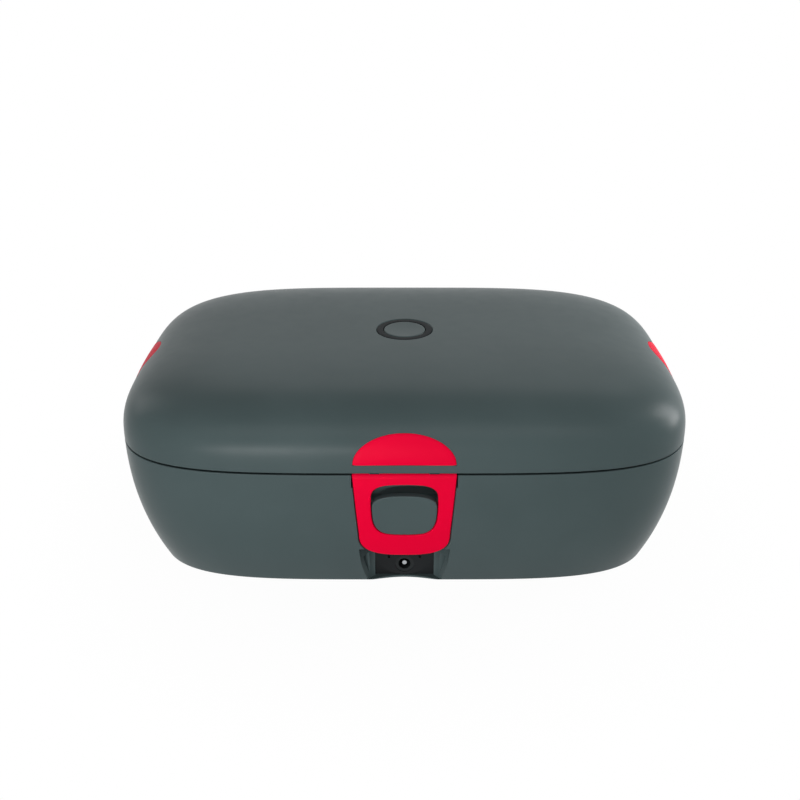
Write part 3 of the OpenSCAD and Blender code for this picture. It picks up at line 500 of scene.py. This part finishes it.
def recessCutter(side):
    # rows of (reach from the latch's centre, depth): a ring between the grown latch outline and the
    # catch, down the outer wall, across, and up the catch. Both lips widen outwards by an arc, and
    # the first and last rows stand outside the wall.
    s, count = latchSizes, 360
    angle, outer = byDirection(latchOutline(s["swingGap"], latchTop + past), latchCentre, count)
    catch = catchReach(count)
    lip = np.array([0.1, 0.3, 0.6, 1.0]) * s["recessRound"]
    drop = np.linspace(1, 0.12, 6) * s["catchRound"]
    rows = [(outer + 0.6, -past), (outer + 0.6, -0.4)]
    rows += [(outer + edgeArc(s["recessRound"], depth), depth) for depth in lip]
    rows += [(outer, s["recess"] - 0.4), (outer - 0.4, s["recess"]), (catch + 0.01, s["recess"])]
    rows += [(catch - edgeArc(s["catchRound"], depth), depth) for depth in drop]
    rows += [(catch - 1.3, -0.4), (catch - 1.3, -past)]
    reach = np.stack([row[0] for row in rows])
    depth = np.array([row[1] for row in rows])[:, None]
    x = latchCentre[0] + reach * np.cos(angle)
    z = latchCentre[1] + reach * np.sin(angle)
    y = baseSkin(x, np.clip(z, zBase, zSeam), side) + depth
    return solid("recess", toSide(np.stack([x, y, z], axis=-1), side), ring=True)


def sideBlock(name, side, low, high):
    # rectangular solid in a latch's own directions
    (x0, y0, z0), (x1, y1, z1) = low, high
    ring = [(x0, y0), (x1, y0), (x1, y1), (x0, y1)]
    return solid(name, toSide([[(x, y, z) for x, y in ring] for z in (z0, z1)], side))


def sideBar(name, side, x0, x1, y, z, radius):
    # round bar along the width of a latch
    ends = toSide([[x0, y, z], [x1, y, z]], side)
    return barrel(name, ends[0], ends[1], radius)


def scoopRow(z, count=24):
    # plan of the scoop at height z: a funnel b + (m - b)(1 - t)^p in to the back wall, no wider
    # than its mouth at that height, which widens evenly up to the latch's corners
    s = scoop
    cornerHeight = zSeam - latchSizes["corner"]
    mouth = s["foot"] + (s["mouth"] - s["foot"]) * (z - zBase + 2) / (cornerHeight - zBase + 2)
    t = 1 - np.linspace(1, 0, count) ** 1.6
    y = s["depth"] - s["flare"] + s["flare"] * t
    x = np.minimum(mouth, s["back"] + (s["mouth"] - s["back"]) * (1 - t) ** s["flarePower"])
    right = np.concatenate([[[mouth + 2, -3]], np.stack([x, y], axis=-1)])
    ring = np.concatenate([right, right[::-1] * [-1, 1]])
    return np.concatenate([ring, np.full((len(ring), 1), z)], axis=1)


def lipRow(z):
    # arched front edge of the thin floor lip: y = d - a + a cos(90 x / h)^0.9
    s = scoop
    x = np.linspace(s["archHalf"], -s["archHalf"], 49)
    lift = np.clip(np.cos(np.pi / 2 * x / s["archHalf"]), 0, 1) ** 0.9
    arch = np.stack([x, s["depth"] - s["archDepth"] * (1 - lift)], axis=-1)
    ring = np.concatenate([[[s["foot"], -3], [s["foot"], s["depth"] - 5]], arch,
                           [[-s["foot"], s["depth"] - 5], [-s["foot"], -3]]])
    return np.concatenate([ring, np.full((len(ring), 1), z)], axis=1)


footPoints = [(body["wallLean"] + body["footRoundWidth"] - 0.02, zBase)]
footTurn = np.linspace(0, np.pi / 2, 14)[1:]
footHeights = zBase + body["footRoundHeight"] * (1 - np.cos(footTurn))
wallHeights = np.linspace(footHeights[-1], zRim - 0.5, 70)[1:]
outerHeights = np.concatenate([footHeights, wallHeights])
outerPoints = np.stack([baseInset(outerHeights), outerHeights], axis=-1)
rimCorners = [(0, zRim - 0.5), (0, zRim), (inner["grooveIn"][0], zRim),
              (inner["grooveIn"][0], zSeam - inner["grooveDepth"]),
              (inner["grooveIn"][1], zSeam - inner["grooveDepth"]), (inner["grooveIn"][1], zRim),
              (inner["rimIn"], zRim), (inner["rimIn"], inner["flangeHeight"]),
              (inner["ledgeIn"], inner["flangeHeight"]), (inner["ledgeIn"], inner["ledgeHeight"])]
rim = rounded(rimCorners, [0, 0.4, 0.3, 0.2, 0.2, 0.3, 0.4, 0.2, 0, 0], 5)[1:]
innerHeights = np.linspace(inner["ledgeHeight"], inner["floorTop"], 30)
innerPoints = np.stack([baseInset(innerHeights) + body["wall"], innerHeights], axis=-1)
floorPoints = [(inner["coverSeatIn"], inner["floorTop"]), (inner["coverSeatIn"], inner["coverTop"]),
               (inner["floorIn"], inner["coverTop"]), (inner["floorIn"], zBase)]
shellProfile = np.concatenate([footPoints, outerPoints, rim, innerPoints, floorPoints])
baseShell = solid("baseShell", planRows(shellProfile), ring=True)


def edgeLine(x, z, side):
    # a flat stand-in for a skin: depths then count from the side's outermost line
    return 0 * x


# Thicker wall behind each latch and round each scoop, started inside the shell's own wall
s, wall, added = latchSizes, body["wall"], []
for side in sides:
    half, low = s["half"] + s["backing"], zSeam - s["length"] - s["backing"]
    high = inner["flangeHeight"]
    added.append(pocket("latch block", [(-half, low), (half, low), (half, high), (-half, high)],
                        side, baseSkin, [wall / 2, inner["rimIn"]]))
    half, depth = ((scoop["mouth"], scoop["depth"]) if side == "front"
                   else (scoop["gripHalf"], scoop["gripIn"]))
    half, low, high = half + wall, zBase + s["backing"], scoop["top"] + wall
    added.append(pocket("scoop block", [(-half, low), (half, low), (half, high), (-half, high)],
                        side, edgeLine, [scoop["backFrom"], depth + wall]))
combine(baseShell, added, "UNION")

cutters = []
half = s["half"] + s["swingGap"]
for side in sides:
    cutters.append(recessCutter(side))
    cutters.append(sideBlock("trough", side, (-half, -past, zSeam - s["troughHeight"]),
                             (half, s["troughIn"], zSeam + 3)))
    cutters.append(sideBlock("hollow behind the catch", side,
                             (-s["windowHalf"], s["recess"], zSeam - s["catchTop"] - s["catchHollow"]),
                             (s["windowHalf"], s["troughIn"], zSeam - s["troughHeight"] + 1)))
rows = [scoopRow(z) for z in np.linspace(scoop["lipTop"], scoop["top"], 12)]
cutters.append(solid("scoop", toSide(rows, "front")))
rows = [lipRow(z) for z in (zBase - 1, scoop["lipTop"] + 0.05)]
cutters.append(solid("lip edge", toSide(rows, "front")))
half, back, r = scoop["gripHalf"], scoop["gripIn"], scoop["gripRound"]
plan = rounded([(half + r, -past), (half, back - 5), (half - r, back),
                (r - half, back), (-half, back - 5), (-half - r, -past)], [0, r, r, r, r, 0], 6)
steps = np.append(np.array([0, 3, 8, 15, 30]) / 30 * r, scoop["top"] - scoop["gripLow"])
rows = [np.column_stack([plan[:, 0] * (half - narrower) / half, plan[:, 1],
                         np.full(len(plan), scoop["gripLow"] + step)])
        for step, narrower in zip(steps, edgeArc(r, np.clip(steps, 0, r)))]
for side in ("left", "right"):
    cutters.append(solid("grip", toSide(rows, side)))
cutters.append(sideBlock("socket seat", "front", (-scoop["back"], scoop["depth"] - 1, scoop["lipTop"]),
                         (scoop["back"], scoop["depth"] + scoop["seatDepth"], scoop["seatTop"])))
cutters.append(barrel("socket tube", (0, scoop["depth"] + 2 - halfDepth, scoop["inletHeight"]),
                      (0, scoop["tubeBack"] - halfDepth, scoop["inletHeight"]), scoop["tubeRadius"]))
for x in outerKnuckles:
    w = hinge["outer"] / 2
    cutters.append(block("hinge arm", (x - w, hinge["y"] - hinge["armIn"], zSeam - hinge["armHeight"]),
                         (x + w, hinge["y"] + past, zSeam + 1)))
for x in middleKnuckles:
    w = hinge["middle"] / 2 + hinge["gap"]
    cutters.append(barrel("knuckle room", (x - w, hinge["y"], zSeam), (x + w, hinge["y"], zSeam),
                          hinge["radius"] + hinge["gap"]))
half, far, near = inner["contactHalf"], inner["contactFar"], inner["contactNear"]
cutters.append(block("contact room", (-half, halfDepth - far, inner["ledgeHeight"] - 1),
                     (half, halfDepth - near, zSeam + 5)))
combine(baseShell, cutters)

lugs = []
for side in sides:
    for x in (-s["lugX"], s["lugX"]):
        x0, x1 = x - s["lugWidth"] / 2, x + s["lugWidth"] / 2
        lugs.append(sideBar("lug eye", side, x0, x1, s["barrelRadius"], latchAxis, s["lugRadius"]))
        lugs.append(sideBlock("lug arm", side, (x0, s["barrelRadius"], latchAxis - s["lugArm"] / 2),
                              (x1, s["troughIn"] + s["lugRoot"], latchAxis + s["lugArm"] / 2)))
combine(baseShell, lugs, "UNION")
finish(baseShell, "base_shell", "base", "grey_shell")
print("base shell:", len(baseShell.data.polygons), "faces")


# Lid shell

lidSizes = {
    "rimRound": 0.35, "lipHalf": 9.0, "lipIn": 3.45, "lipHeight": 1.0, "ringRadius": 13.8,
    "holeGap": 0.1, "holeBevel": 0.4, "capBottom": zSeam + 4.4,
    "capHeight": {"front": 14.0, "left": 18.6, "right": 18.6}, "capHalf": 22.4, "capPower": 2.1,
    "capThickness": 1.2, "capProud": 0.1, "capBulge": {"front": 0.3, "left": 0.55, "right": 0.55},
    "capRound": 0.5, "seatGap": 0.05, "rows": 80,
}


def lidRows(inset, turns):
    # share cos(t)^(2/sidePower) of the plan at height h sin(t)^(2/crownPower)
    share = np.cos(turns) ** (2 / body["sidePower"])
    z = zSeam + (body["lidHeight"] - inset) * np.sin(turns) ** (2 / body["crownPower"])
    return ovalRows((halfWidth - inset) * share, (halfDepth - inset) * share, lidPower(share), z)


lowTurn = np.arcsin(((body["seamGap"] / 2 + lidSizes["rimRound"]) / body["lidHeight"])
                    ** (body["crownPower"] / 2))
turns = lowTurn + (np.radians(89) - lowTurn) * np.linspace(0, 1, lidSizes["rows"]) ** 1.15
wallTurns = np.linspace(lowTurn, np.radians(88.5), 50)
rimProfile = rounded([(0, zLid + 0.62), (0, zLid), (body["wall"], zLid), (body["wall"], zLid + 1)],
                     [0, lidSizes["rimRound"], 0.4, 0], 6)[1:-1]
lidShell = solid("lidShell", np.concatenate([lidRows(0, turns)[::-1], planRows(rimProfile),
                                             lidRows(body["wall"], wallTurns)]))
combine(lidShell, [sideBlock("lip", side, (-lidSizes["lipHalf"], body["wall"] - 0.5, zLid),
                             (lidSizes["lipHalf"], lidSizes["lipIn"], zLid + lidSizes["lipHeight"]))
                   for side in sides], "UNION")


def capOutline(side, grow=0.0):
    # level foot and an arch of two quarter superellipses
    s = lidSizes
    arch = quarterOval(s["capHalf"] + grow, s["capHeight"][side] + grow, s["capPower"], 60)
    arch = np.stack([arch[:, 0], s["capBottom"] + arch[:, 1]], axis=-1)
    foot = np.linspace([0, s["capBottom"] - grow], [s["capHalf"] + grow, s["capBottom"] - grow], 40)
    return mirrored(np.concatenate([foot, arch]))


reach, bevel = lidSizes["ringRadius"] + lidSizes["holeGap"], lidSizes["holeBevel"]
holeProfile = [(reach, zTop - 5), (reach, zTop - bevel), (reach + bevel, zTop),
               (reach + bevel, zTop + past)]
cutters = [solid("button hole", turnedRows(holeProfile, columns=128))]
for side in sides:
    cutters.append(pocket("cap seat", capOutline(side, lidSizes["seatGap"]), side, lidSkin,
                          [-1.5, lidSizes["capThickness"] + lidSizes["seatGap"]]))
for x in outerKnuckles:
    w = hinge["outer"] / 2 + hinge["gap"]
    cutters.append(barrel("knuckle room", (x - w, hinge["y"], zSeam), (x + w, hinge["y"], zSeam),
                          hinge["radius"] + hinge["gap"]))
for x in middleKnuckles:
    w = hinge["middle"] / 2
    cutters.append(block("hinge arm", (x - w, hinge["y"] - hinge["armIn"], zSeam - 1),
                         (x + w, hinge["y"] + past, zSeam + hinge["armHeight"])))
combine(lidShell, cutters)
finish(lidShell, "lid_shell", "lid", "grey_shell")
print("lid shell:", len(lidShell.data.polygons), "faces")


# Red caps: inlays that follow the lid's surface, a hair proud, with a rounded edge

def makeCap(side):
    # rows of points on rays from a middle point, out at the back first. The edge is a quarter circle,
    # r (1 - cos t) in and r (1 - sin t) deep, and the face swells by bulge (1 - (1 - share)^2)
    s, faceRows = lidSizes, 14
    r = s["capRound"]
    middle = s["capBottom"] + 0.36 * s["capHeight"][side]
    angle, reach = byDirection(capOutline(side), np.array([0, middle]), 240)
    edge = np.linspace(0, np.pi / 2, 6)
    least = reach.min()
    inward = np.concatenate([r * (1 - np.cos(edge)),
                             r + (least - r - 1) * np.linspace(0.08, 1, faceRows)])
    share = np.clip(inward / least, 0, 0.97)
    depth = np.concatenate([r * (1 - np.sin(edge)), np.zeros(faceRows)]) - s["capProud"]
    depth = depth - s["capBulge"][side] * (1 - (1 - share) ** 2)
    radius = np.where(inward[:, None] <= r + 0.2, reach - inward[:, None],
                      reach * (1 - share[:, None]))
    radius = np.concatenate([reach[None], radius])
    depth = np.append(s["capThickness"], depth)
    x = radius * np.cos(angle)
    z = middle + radius * np.sin(angle)
    rows = np.stack([x, lidSkin(x, z, side) + depth[:, None], z], axis=-1)
    cap = solid("cap" + side.capitalize(), toSide(rows, side))
    finish(cap, "cap_" + side, "lid", "red_trim", 50)


for side in sides:
    makeCap(side)
print("caps made")


# Latches: a plate with a window, a barrel along its top edge and a hook behind

def makeLatch(side):
    # rays from a middle point run from the outer outline to the window; rows step along them, over
    # the front and back again. Front depth: skin plus the edge's arc, or the barrel's
    # r - sqrt(r^2 - h^2) at h above its axis. The back is the thickness or the barrel.
    s, count = latchSizes, 480
    r, rb = s["edgeRound"], s["barrelRadius"]
    angle, outer = byDirection(latchOutline(), latchCentre, count)
    _, window = byDirection(windowOutline(), latchCentre, count)
    steps = r * (1 - np.cos(np.linspace(0, np.pi / 2, 6)))
    across = np.linspace(0, 1, 22)[1:-1, None]
    reach = np.concatenate([outer - steps[:, None],
                            (outer - r) * (1 - across) + (window + r) * across,
                            window + steps[::-1, None]])
    edge = np.minimum(outer - reach, reach - window)
    drop = edgeArc(r, np.clip(edge, 0, r))
    x = latchCentre[0] + reach * np.cos(angle)
    z = latchCentre[1] + reach * np.sin(angle)
    above = np.clip(z - latchAxis, 0, rb)
    skin = baseSkin(x, np.minimum(z, zRim), side)
    front = skin + np.maximum(drop, rb - np.sqrt(rb ** 2 - above ** 2))
    bulge = rb + np.sqrt(np.clip(rb ** 2 - (z - latchAxis) ** 2, 0, None))
    plate = np.where(z < latchAxis, s["thickness"] - 0.5 * drop, 0)
    near = np.abs(z - latchAxis) < rb
    back = skin + np.where(near, np.maximum(plate, bulge), plate)
    back = np.maximum(back, front + 0.02)
    rows = np.concatenate([np.stack([x, front, z], axis=-1), np.stack([x, back, z], axis=-1)[::-1]])
    latch = solid("latch" + side.capitalize(), toSide(rows, side), ring=True)
    near, low = lidSizes["lipIn"] + s["hookGap"], zLid + lidSizes["lipHeight"] + s["hookGap"]
    far, high, tip = near + s["hookStem"], low + s["hookTip"], body["wall"] + s["swingGap"]
    hookProfile = rounded([(near, latchAxis), (near, low), (tip, low), (tip, high), (far, high),
                           (far, latchAxis)], [0, 0.2, 0.2, 0.4, 0.4, 0], 5)
    hook = solid("hook", toSide([np.column_stack([np.full(len(hookProfile), x), hookProfile])
                                 for x in (-s["hookHalf"], s["hookHalf"])], side))
    combine(latch, [hook], "UNION")
    slots = [sideBar("bore", side, -s["lugX"] - s["lugWidth"], s["lugX"] + s["lugWidth"], rb,
                     latchAxis, s["pin"] / 2 + s["pinGap"])]
    for x in (-s["lugX"], s["lugX"]):
        x0 = x - s["lugWidth"] / 2 - s["seatGap"]
        x1 = x + s["lugWidth"] / 2 + s["seatGap"]
        low = s["lugArm"] / 2 + s["seatGap"]
        slots.append(sideBar("slot", side, x0, x1, rb, latchAxis, s["lugRadius"] + s["seatGap"]))
        slots.append(sideBlock("slot", side, (x0, rb - low, latchAxis - low),
                               (x1, rb + s["slotReach"], latchAxis + s["slotReach"])))
    combine(latch, slots)
    finish(latch, "latch_" + side, side + "_latch", "red_trim", 40)


for side in sides:
    makeLatch(side)
print("latches made")


# Inside of the lower half: black liner, steel dish, hot plate

linerSizes = {"flangeIn": 10.5, "flange": zSeam - 3.4, "thickness": 2.0, "wellTop": 14.5,
              "wellLow": 20.5, "wellFloor": 18.4, "holeIn": 38.5}
d = linerSizes
t = d["thickness"]
linerProfile = rounded([(d["flangeIn"], d["flange"]), (d["flangeIn"], d["flange"] + t),
                        (d["wellTop"] + t, d["flange"] + t), (d["wellLow"] + t, d["wellFloor"] + t),
                        (d["holeIn"], d["wellFloor"] + t), (d["holeIn"], d["wellFloor"]),
                        (d["wellLow"], d["wellFloor"]), (d["wellTop"], d["flange"])],
                       [0.3, 0.5, 1.2, 2.5, 0.2, 0.2, 3.5, 0.6], 7, closed=True)
baseLiner = solid("baseLiner", planRows(linerProfile), ring=True)
finish(baseLiner, "base_liner", "base", "black_plastic")

dishSizes = {"bottom": 22.4, "thickness": 0.8, "lowIn": 24.5, "topIn": 19.5, "rimIn": 15.2,
             "rimHeight": zSeam - 1.4, "bottomRound": 5.0, "rimRound": 1.2, "middleIn": 75.0}
d = dishSizes
t = d["thickness"]
dishProfile = rounded([(d["middleIn"], d["bottom"] + t), (d["lowIn"] + 1.2, d["bottom"] + t),
                       (d["topIn"] + t, d["rimHeight"] + t), (d["rimIn"], d["rimHeight"] + t),
                       (d["rimIn"], d["rimHeight"]), (d["topIn"], d["rimHeight"]),
                       (d["lowIn"] + 0.4, d["bottom"]), (d["middleIn"], d["bottom"])],
                      [0, d["bottomRound"], d["rimRound"], 0.38, 0.38, 0.5, d["bottomRound"] + t, 0], 10)
foodDish = solid("foodDish", planRows(dishProfile))
finish(foodDish, "food_dish", "base", "dish_steel")

plateSizes = {"edgeIn": 34.5, "thickness": 2.0, "edgeRound": 0.5, "middleIn": 80.0}
d = plateSizes
high, low = dishSizes["bottom"], dishSizes["bottom"] - d["thickness"]
plateProfile = rounded([(d["middleIn"], high), (d["edgeIn"], high), (d["edgeIn"], low),
                        (d["middleIn"], low)], [0, d["edgeRound"], d["edgeRound"], 0], 4)
heatingPlate = solid("heatingPlate", planRows(plateProfile))
finish(heatingPlate, "heating_plate", "base", "aluminium")


# Inside of the lid: liner with the black tongue that shows in the seam, and the gasket

lidLinerSizes = {
    "edgeIn": 2.7, "low": zLid + 0.3, "thickness": 2.0, "tongue": 1.5, "tongueLow": zSeam - 1.3,
    "middleIn": 75.0, "latchHalf": 23.8, "latchIn": 9.0, "hingeHalf": 15.3, "hingeIn": 8.0,
    "screwX": 100.0, "screwY": 50.0, "middleScrewY": 66.0, "headRadius": 2.4, "headDepth": 1.0,
    "boreRadius": 1.25, "leadIn": 13.6, "leadRadius": 2.0,
}
d = lidLinerSizes
low, high = d["low"], d["low"] + d["thickness"]
tongueEnd = d["edgeIn"] + d["tongue"]
lidLinerProfile = rounded([(d["middleIn"], high), (d["edgeIn"], high), (d["edgeIn"], d["tongueLow"]),
                           (tongueEnd, d["tongueLow"]), (tongueEnd, low), (d["middleIn"], low)],
                          [0, 0.3, 0.3, 0.3, 0.4, 0], 5)
lidLiner = solid("lidLiner", planRows(lidLinerProfile))
cutters = [sideBlock("latch room", side, (-d["latchHalf"], -1, zSeam - 5),
                     (d["latchHalf"], d["latchIn"], zSeam + 7)) for side in sides]
for x in middleKnuckles:
    cutters.append(block("hinge room", (x - d["hingeHalf"], hinge["y"] - d["hingeIn"], zSeam - 5),
                         (x + d["hingeHalf"], hinge["y"] + 4, zSeam + 7)))
lidScrews = [(x * d["screwX"], y * d["screwY"]) for x in (-1, 1) for y in (-1, 1)]
lidScrews += [(0, -d["middleScrewY"]), (0, d["middleScrewY"])]
seat = [(d["headRadius"], low - 1), (d["headRadius"], low + d["headDepth"]),
        (d["boreRadius"], low + d["headDepth"]), (d["boreRadius"], high + 1)]
for place in lidScrews:
    cutters.append(solid("screw seat", turnedRows(seat, place, 48)))
leadY = halfDepth - d["leadIn"]
cutters.append(barrel("lead hole", (0, leadY, low - 1), (0, leadY, high + 1), d["leadRadius"]))
combine(lidLiner, cutters)
finish(lidLiner, "lid_liner", "lid", "black_plastic")

gasketSizes = {"in": 11.0, "width": 3.2, "low": zSeam - 1.1, "high": lidLinerSizes["low"], "nose": 0.8}
d = gasketSizes
start, middle, end = d["in"], d["in"] + d["width"] / 2, d["in"] + d["width"]
gasketProfile = rounded([(start, d["high"]), (start, d["low"] + d["nose"]), (middle, d["low"]),
                         (end, d["low"] + d["nose"]), (end, d["high"])],
                        [0.1, 0.4, 0.9, 0.4, 0.1], 6, closed=True)
gasket = solid("lidGasket", planRows(gasketProfile), ring=True)
finish(gasket, "lid_gasket", "lid", "silicone")
print("liners, dish and gasket made")


# Button and light ring on top of the lid

button = {"radius": 10.2, "ringGap": 0.3, "edge": 0.5, "ringTop": zTop - 0.1, "capTop": zTop - 0.05,
          "ringLow": zTop - body["wall"] - 1.8, "ringFlange": 2.7, "dish": 0.25, "flat": 0.9,
          "capFlange": 2.0, "capFlangeHeight": 1.6, "stemRadius": 2.5, "stemLength": 1.0}
b = button
start, end, skin = b["radius"] + b["ringGap"], lidSizes["ringRadius"], zTop - body["wall"] - 0.05
ringProfile = rounded([(start, b["ringLow"]), (start, b["ringTop"]), (end, b["ringTop"]), (end, skin),
                       (end + b["ringFlange"], skin), (end + b["ringFlange"], b["ringLow"])],
                      [0.1, 0.35, 0.35, 0.1, 0.2, 0.2], 6, closed=True)
lightRing = solid("lightRing", turnedRows(ringProfile, columns=160), ring=True)
finish(lightRing, "light_ring", "lid", "smoked_ring")

# the face is hollowed by dish (1 - (r / R)^2), inside a level rim
hollow = b["radius"] - b["flat"] - 0.1
reach = np.linspace(0.05, 1, 12) * hollow
face = np.stack([reach, b["capTop"] - b["dish"] * (1 - (reach / hollow) ** 2)], axis=-1)
high = b["ringLow"] - b["ringGap"]
low = high - b["capFlangeHeight"]
capSide = rounded([(b["radius"] - b["flat"], b["capTop"]), (b["radius"], b["capTop"]),
                   (b["radius"], high), (b["radius"] + b["capFlange"], high),
                   (b["radius"] + b["capFlange"], low), (b["stemRadius"], low),
                   (b["stemRadius"], low - b["stemLength"]), (0.5, low - b["stemLength"])],
                  [0, b["edge"], 0.2, 0.2, 0.2, 0, 0.2, 0], 6)
buttonCap = solid("buttonCap", turnedRows(np.concatenate([face, capSide]), columns=160))
finish(buttonCap, "button_cap", "button", "grey_shell")
print("button made")


# Materials. Object coordinates are metres, so a pattern with features of g mm has a scale of
# 1000 / g. A finish is its colour and, but for metal, the tone that it wanders to.

finishes = {
    "shell": ("#435051", "#475455"), "red": ("#e60034", "#df0031"),
    # housing: the socket's own black, taken darker as painted shade for the shaded scoop round it
    "black": ("#0a0c0d", "#232728"), "housing": ("#0c0f10", "#15181a"),
    "smoked": ("#0d1214", "#11171a"), "wire": ("#1a1b1c", "#232425"),
    "rubber": ("#17191a", "#222526"), "silicone": ("#c9ccca", "#bfc3c1"),
    "foam": ("#dedbd0", "#cfccc0"), "foil": ("#b5602a", "#8f4517"),
    "board": ("#1d5c38", "#174c2e"), "lamp": ("#efe6c4", "#e4d79c"),
    "steel": "#c8cacb", "zinc": "#a9adb0", "aluminium": "#b4b7b9", "brass": "#d8b35a",
}
noiseSpan = {"From Min": 0.3, "From Max": 0.7}  # where nearly all of a noise lies


def grain(tree, size, detail=2.0):
    # noise on Object coordinates with features of about size mm
    place = addNode(tree, "ShaderNodeTexCoord")
    return addNode(tree, "ShaderNodeTexNoise", {"Vector": place.outputs["Object"]},
                   {"Scale": 1000.0 / size, "Detail": detail}).outputs["Fac"]


def mouldedPlastic(name, colours, roughness, texture=0.8, relief=0.003, specular=0.14):
    # injection-moulded plastic: even colour that wanders very slightly, and a spark-eroded texture
    # that softens the highlight, drawn about five times coarser than it is so that it shows
    material, tree = newMaterial(name)
    cloud = addNode(tree, "ShaderNodeMapRange", {"Value": grain(tree, 38.0)}, noiseSpan)
    tint = addNode(tree, "ShaderNodeMix", {"Factor": cloud.outputs[0]},
                   {"A": linear(colours[0]), "B": linear(colours[1])}, data_type="RGBA")
    scuff = addNode(tree, "ShaderNodeMapRange", {"Value": grain(tree, 7.0, 6.0)},
                    {**noiseSpan, "To Min": roughness, "To Max": roughness + 0.05})
    bump = addNode(tree, "ShaderNodeBump", {"Height": grain(tree, texture, 3.0)},
                   {"Strength": 0.35, "Distance": relief * mm})
    shader = addNode(tree, "ShaderNodeBsdfPrincipled",
                     {"Base Color": tint.outputs["Result"], "Roughness": scuff.outputs[0],
                      "Normal": bump.outputs["Normal"]},
                     {"IOR": 1.5, "Specular IOR Level": specular})
    addNode(tree, "ShaderNodeOutputMaterial", {"Surface": shader.outputs[0]})
    return material


def metal(name, colour, roughness, lineSize, stretch=(1, 1, 1)):
    # bare metal: noise drawn out into fine lines along the axis that is scaled down
    material, tree = newMaterial(name)
    place = addNode(tree, "ShaderNodeTexCoord")
    turn = addNode(tree, "ShaderNodeMapping", {"Vector": place.outputs["Object"]},
                   {"Scale": stretch})
    lines = addNode(tree, "ShaderNodeTexNoise", {"Vector": turn.outputs["Vector"]},
                    {"Scale": 1000.0 / lineSize, "Detail": 4.0})
    sheen = addNode(tree, "ShaderNodeMapRange", {"Value": lines.outputs["Fac"]},
                    {**noiseSpan, "To Min": roughness - 0.06, "To Max": roughness + 0.06})
    bump = addNode(tree, "ShaderNodeBump", {"Height": lines.outputs["Fac"]},
                   {"Strength": 0.2, "Distance": 0.01 * mm})
    shader = addNode(tree, "ShaderNodeBsdfPrincipled",
                     {"Roughness": sheen.outputs[0], "Normal": bump.outputs["Normal"]},
                     {"Base Color": linear(colour), "Metallic": 1.0})
    addNode(tree, "ShaderNodeOutputMaterial", {"Surface": shader.outputs[0]})
    return material


def flecked(name, colours, roughness, size, relief, specular=0.5):
    # soft or matt stuff with visible grain: colour and height share one noise
    material, tree = newMaterial(name)
    spots = grain(tree, size, 4.0)
    cloud = addNode(tree, "ShaderNodeMapRange", {"Value": spots}, noiseSpan)
    tint = addNode(tree, "ShaderNodeMix", {"Factor": cloud.outputs[0]},
                   {"A": linear(colours[0]), "B": linear(colours[1])}, data_type="RGBA")
    bump = addNode(tree, "ShaderNodeBump", {"Height": spots},
                   {"Strength": 0.5, "Distance": relief * mm})
    shader = addNode(tree, "ShaderNodeBsdfPrincipled",
                     {"Base Color": tint.outputs["Result"], "Normal": bump.outputs["Normal"]},
                     {"Roughness": roughness, "Specular IOR Level": specular})
    addNode(tree, "ShaderNodeOutputMaterial", {"Surface": shader.outputs[0]})
    return material


f = finishes
# wide soft highlights over an even grey-green
shellPlastic = mouldedPlastic("satin ABS, grey", f["shell"], 0.31, specular=0.09)
# deep even red with hardly any shine
redPlastic = mouldedPlastic("satin ABS, red", f["red"], 0.42, specular=0.04)
# duller than the shell and slightly cloudy, as thick inner mouldings are
blackPlastic = mouldedPlastic("moulded polypropylene, black", f["black"], 0.5)
# near-black and nearly matt: the socket's own dark plastic, taken darker still as painted shade so that
# the scoop stays dark
housingPlasticAndShade = mouldedPlastic("moulded nylon, near-black with painted scoop shade", f["housing"], 0.55)
# smooth and dark: it hides the lamps until they are lit
smokedPlastic = mouldedPlastic("smoked polycarbonate", f["smoked"], 0.45, 0.5, 0.0008, 0.05)
# smooth black sleeve with a soft shine
wire = mouldedPlastic("PVC wire sleeve", f["wire"], 0.45)
# matt black with a fine grip texture
rubber = flecked("moulded rubber", f["rubber"], 0.75, 0.8, 0.03, 0.3)
# pale, cloudy and soft-edged
silicone = flecked("silicone rubber, translucent grey", f["silicone"], 0.45, 3.0, 0.01)
# bright, with fine lines that run up the walls from the press
steel = metal("drawn stainless steel", f["steel"], 0.24, 1.2, (1, 1, 0.08))
# cool grey with a faintly mottled gloss
zinc = metal("zinc-plated steel", f["zinc"], 0.32, 0.6)
# dull silver with lines along the rolling direction
aluminium = metal("rolled aluminium sheet", f["aluminium"], 0.38, 1.0, (0.05, 1, 1))
# warm yellow, smooth
brass = metal("gold-plated brass", f["brass"], 0.25, 0.5)
# off-white with pits the size of its cells
foam = flecked("polyethylene foam", f["foam"], 0.9, 1.1, 0.25, 0.2)
# orange film with a sheen and the tracks' shadows in it
foil = flecked("polyimide film over etched foil", f["foil"], 0.28, 4.0, 0.02)
# green lacquer over a faint weave
board = flecked("glass-epoxy circuit board", f["board"], 0.4, 1.6, 0.01)
# pale yellow and waxy
lampCover = flecked("phosphor lamp cover", f["lamp"], 0.4, 1.0, 0.01)

slots = {"grey_shell": shellPlastic, "red_trim": redPlastic, "black_plastic": blackPlastic,
         "rubber": rubber, "silicone": silicone, "dish_steel": steel, "aluminium": aluminium,
         "steel": zinc, "foam": foam, "foil": foil, "board": board, "wire": wire, "gold": brass,
         "smoked_ring": smokedPlastic, "lamp": lampCover}
own = {"inlet_housing": housingPlasticAndShade}

nodeSlots = {entry["node"]: entry["material_slot"] for entry in frame["record"]["subparts"]}
for name, node in frame["nodes"].items():
    node.data.materials.clear()
    node.data.materials.append(own.get(name, slots[nodeSlots[name]]))
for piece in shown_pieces():
    if "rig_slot" in piece:
        piece.data.materials.clear()
        piece.data.materials.append(slots[piece["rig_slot"]])
print("materials set")
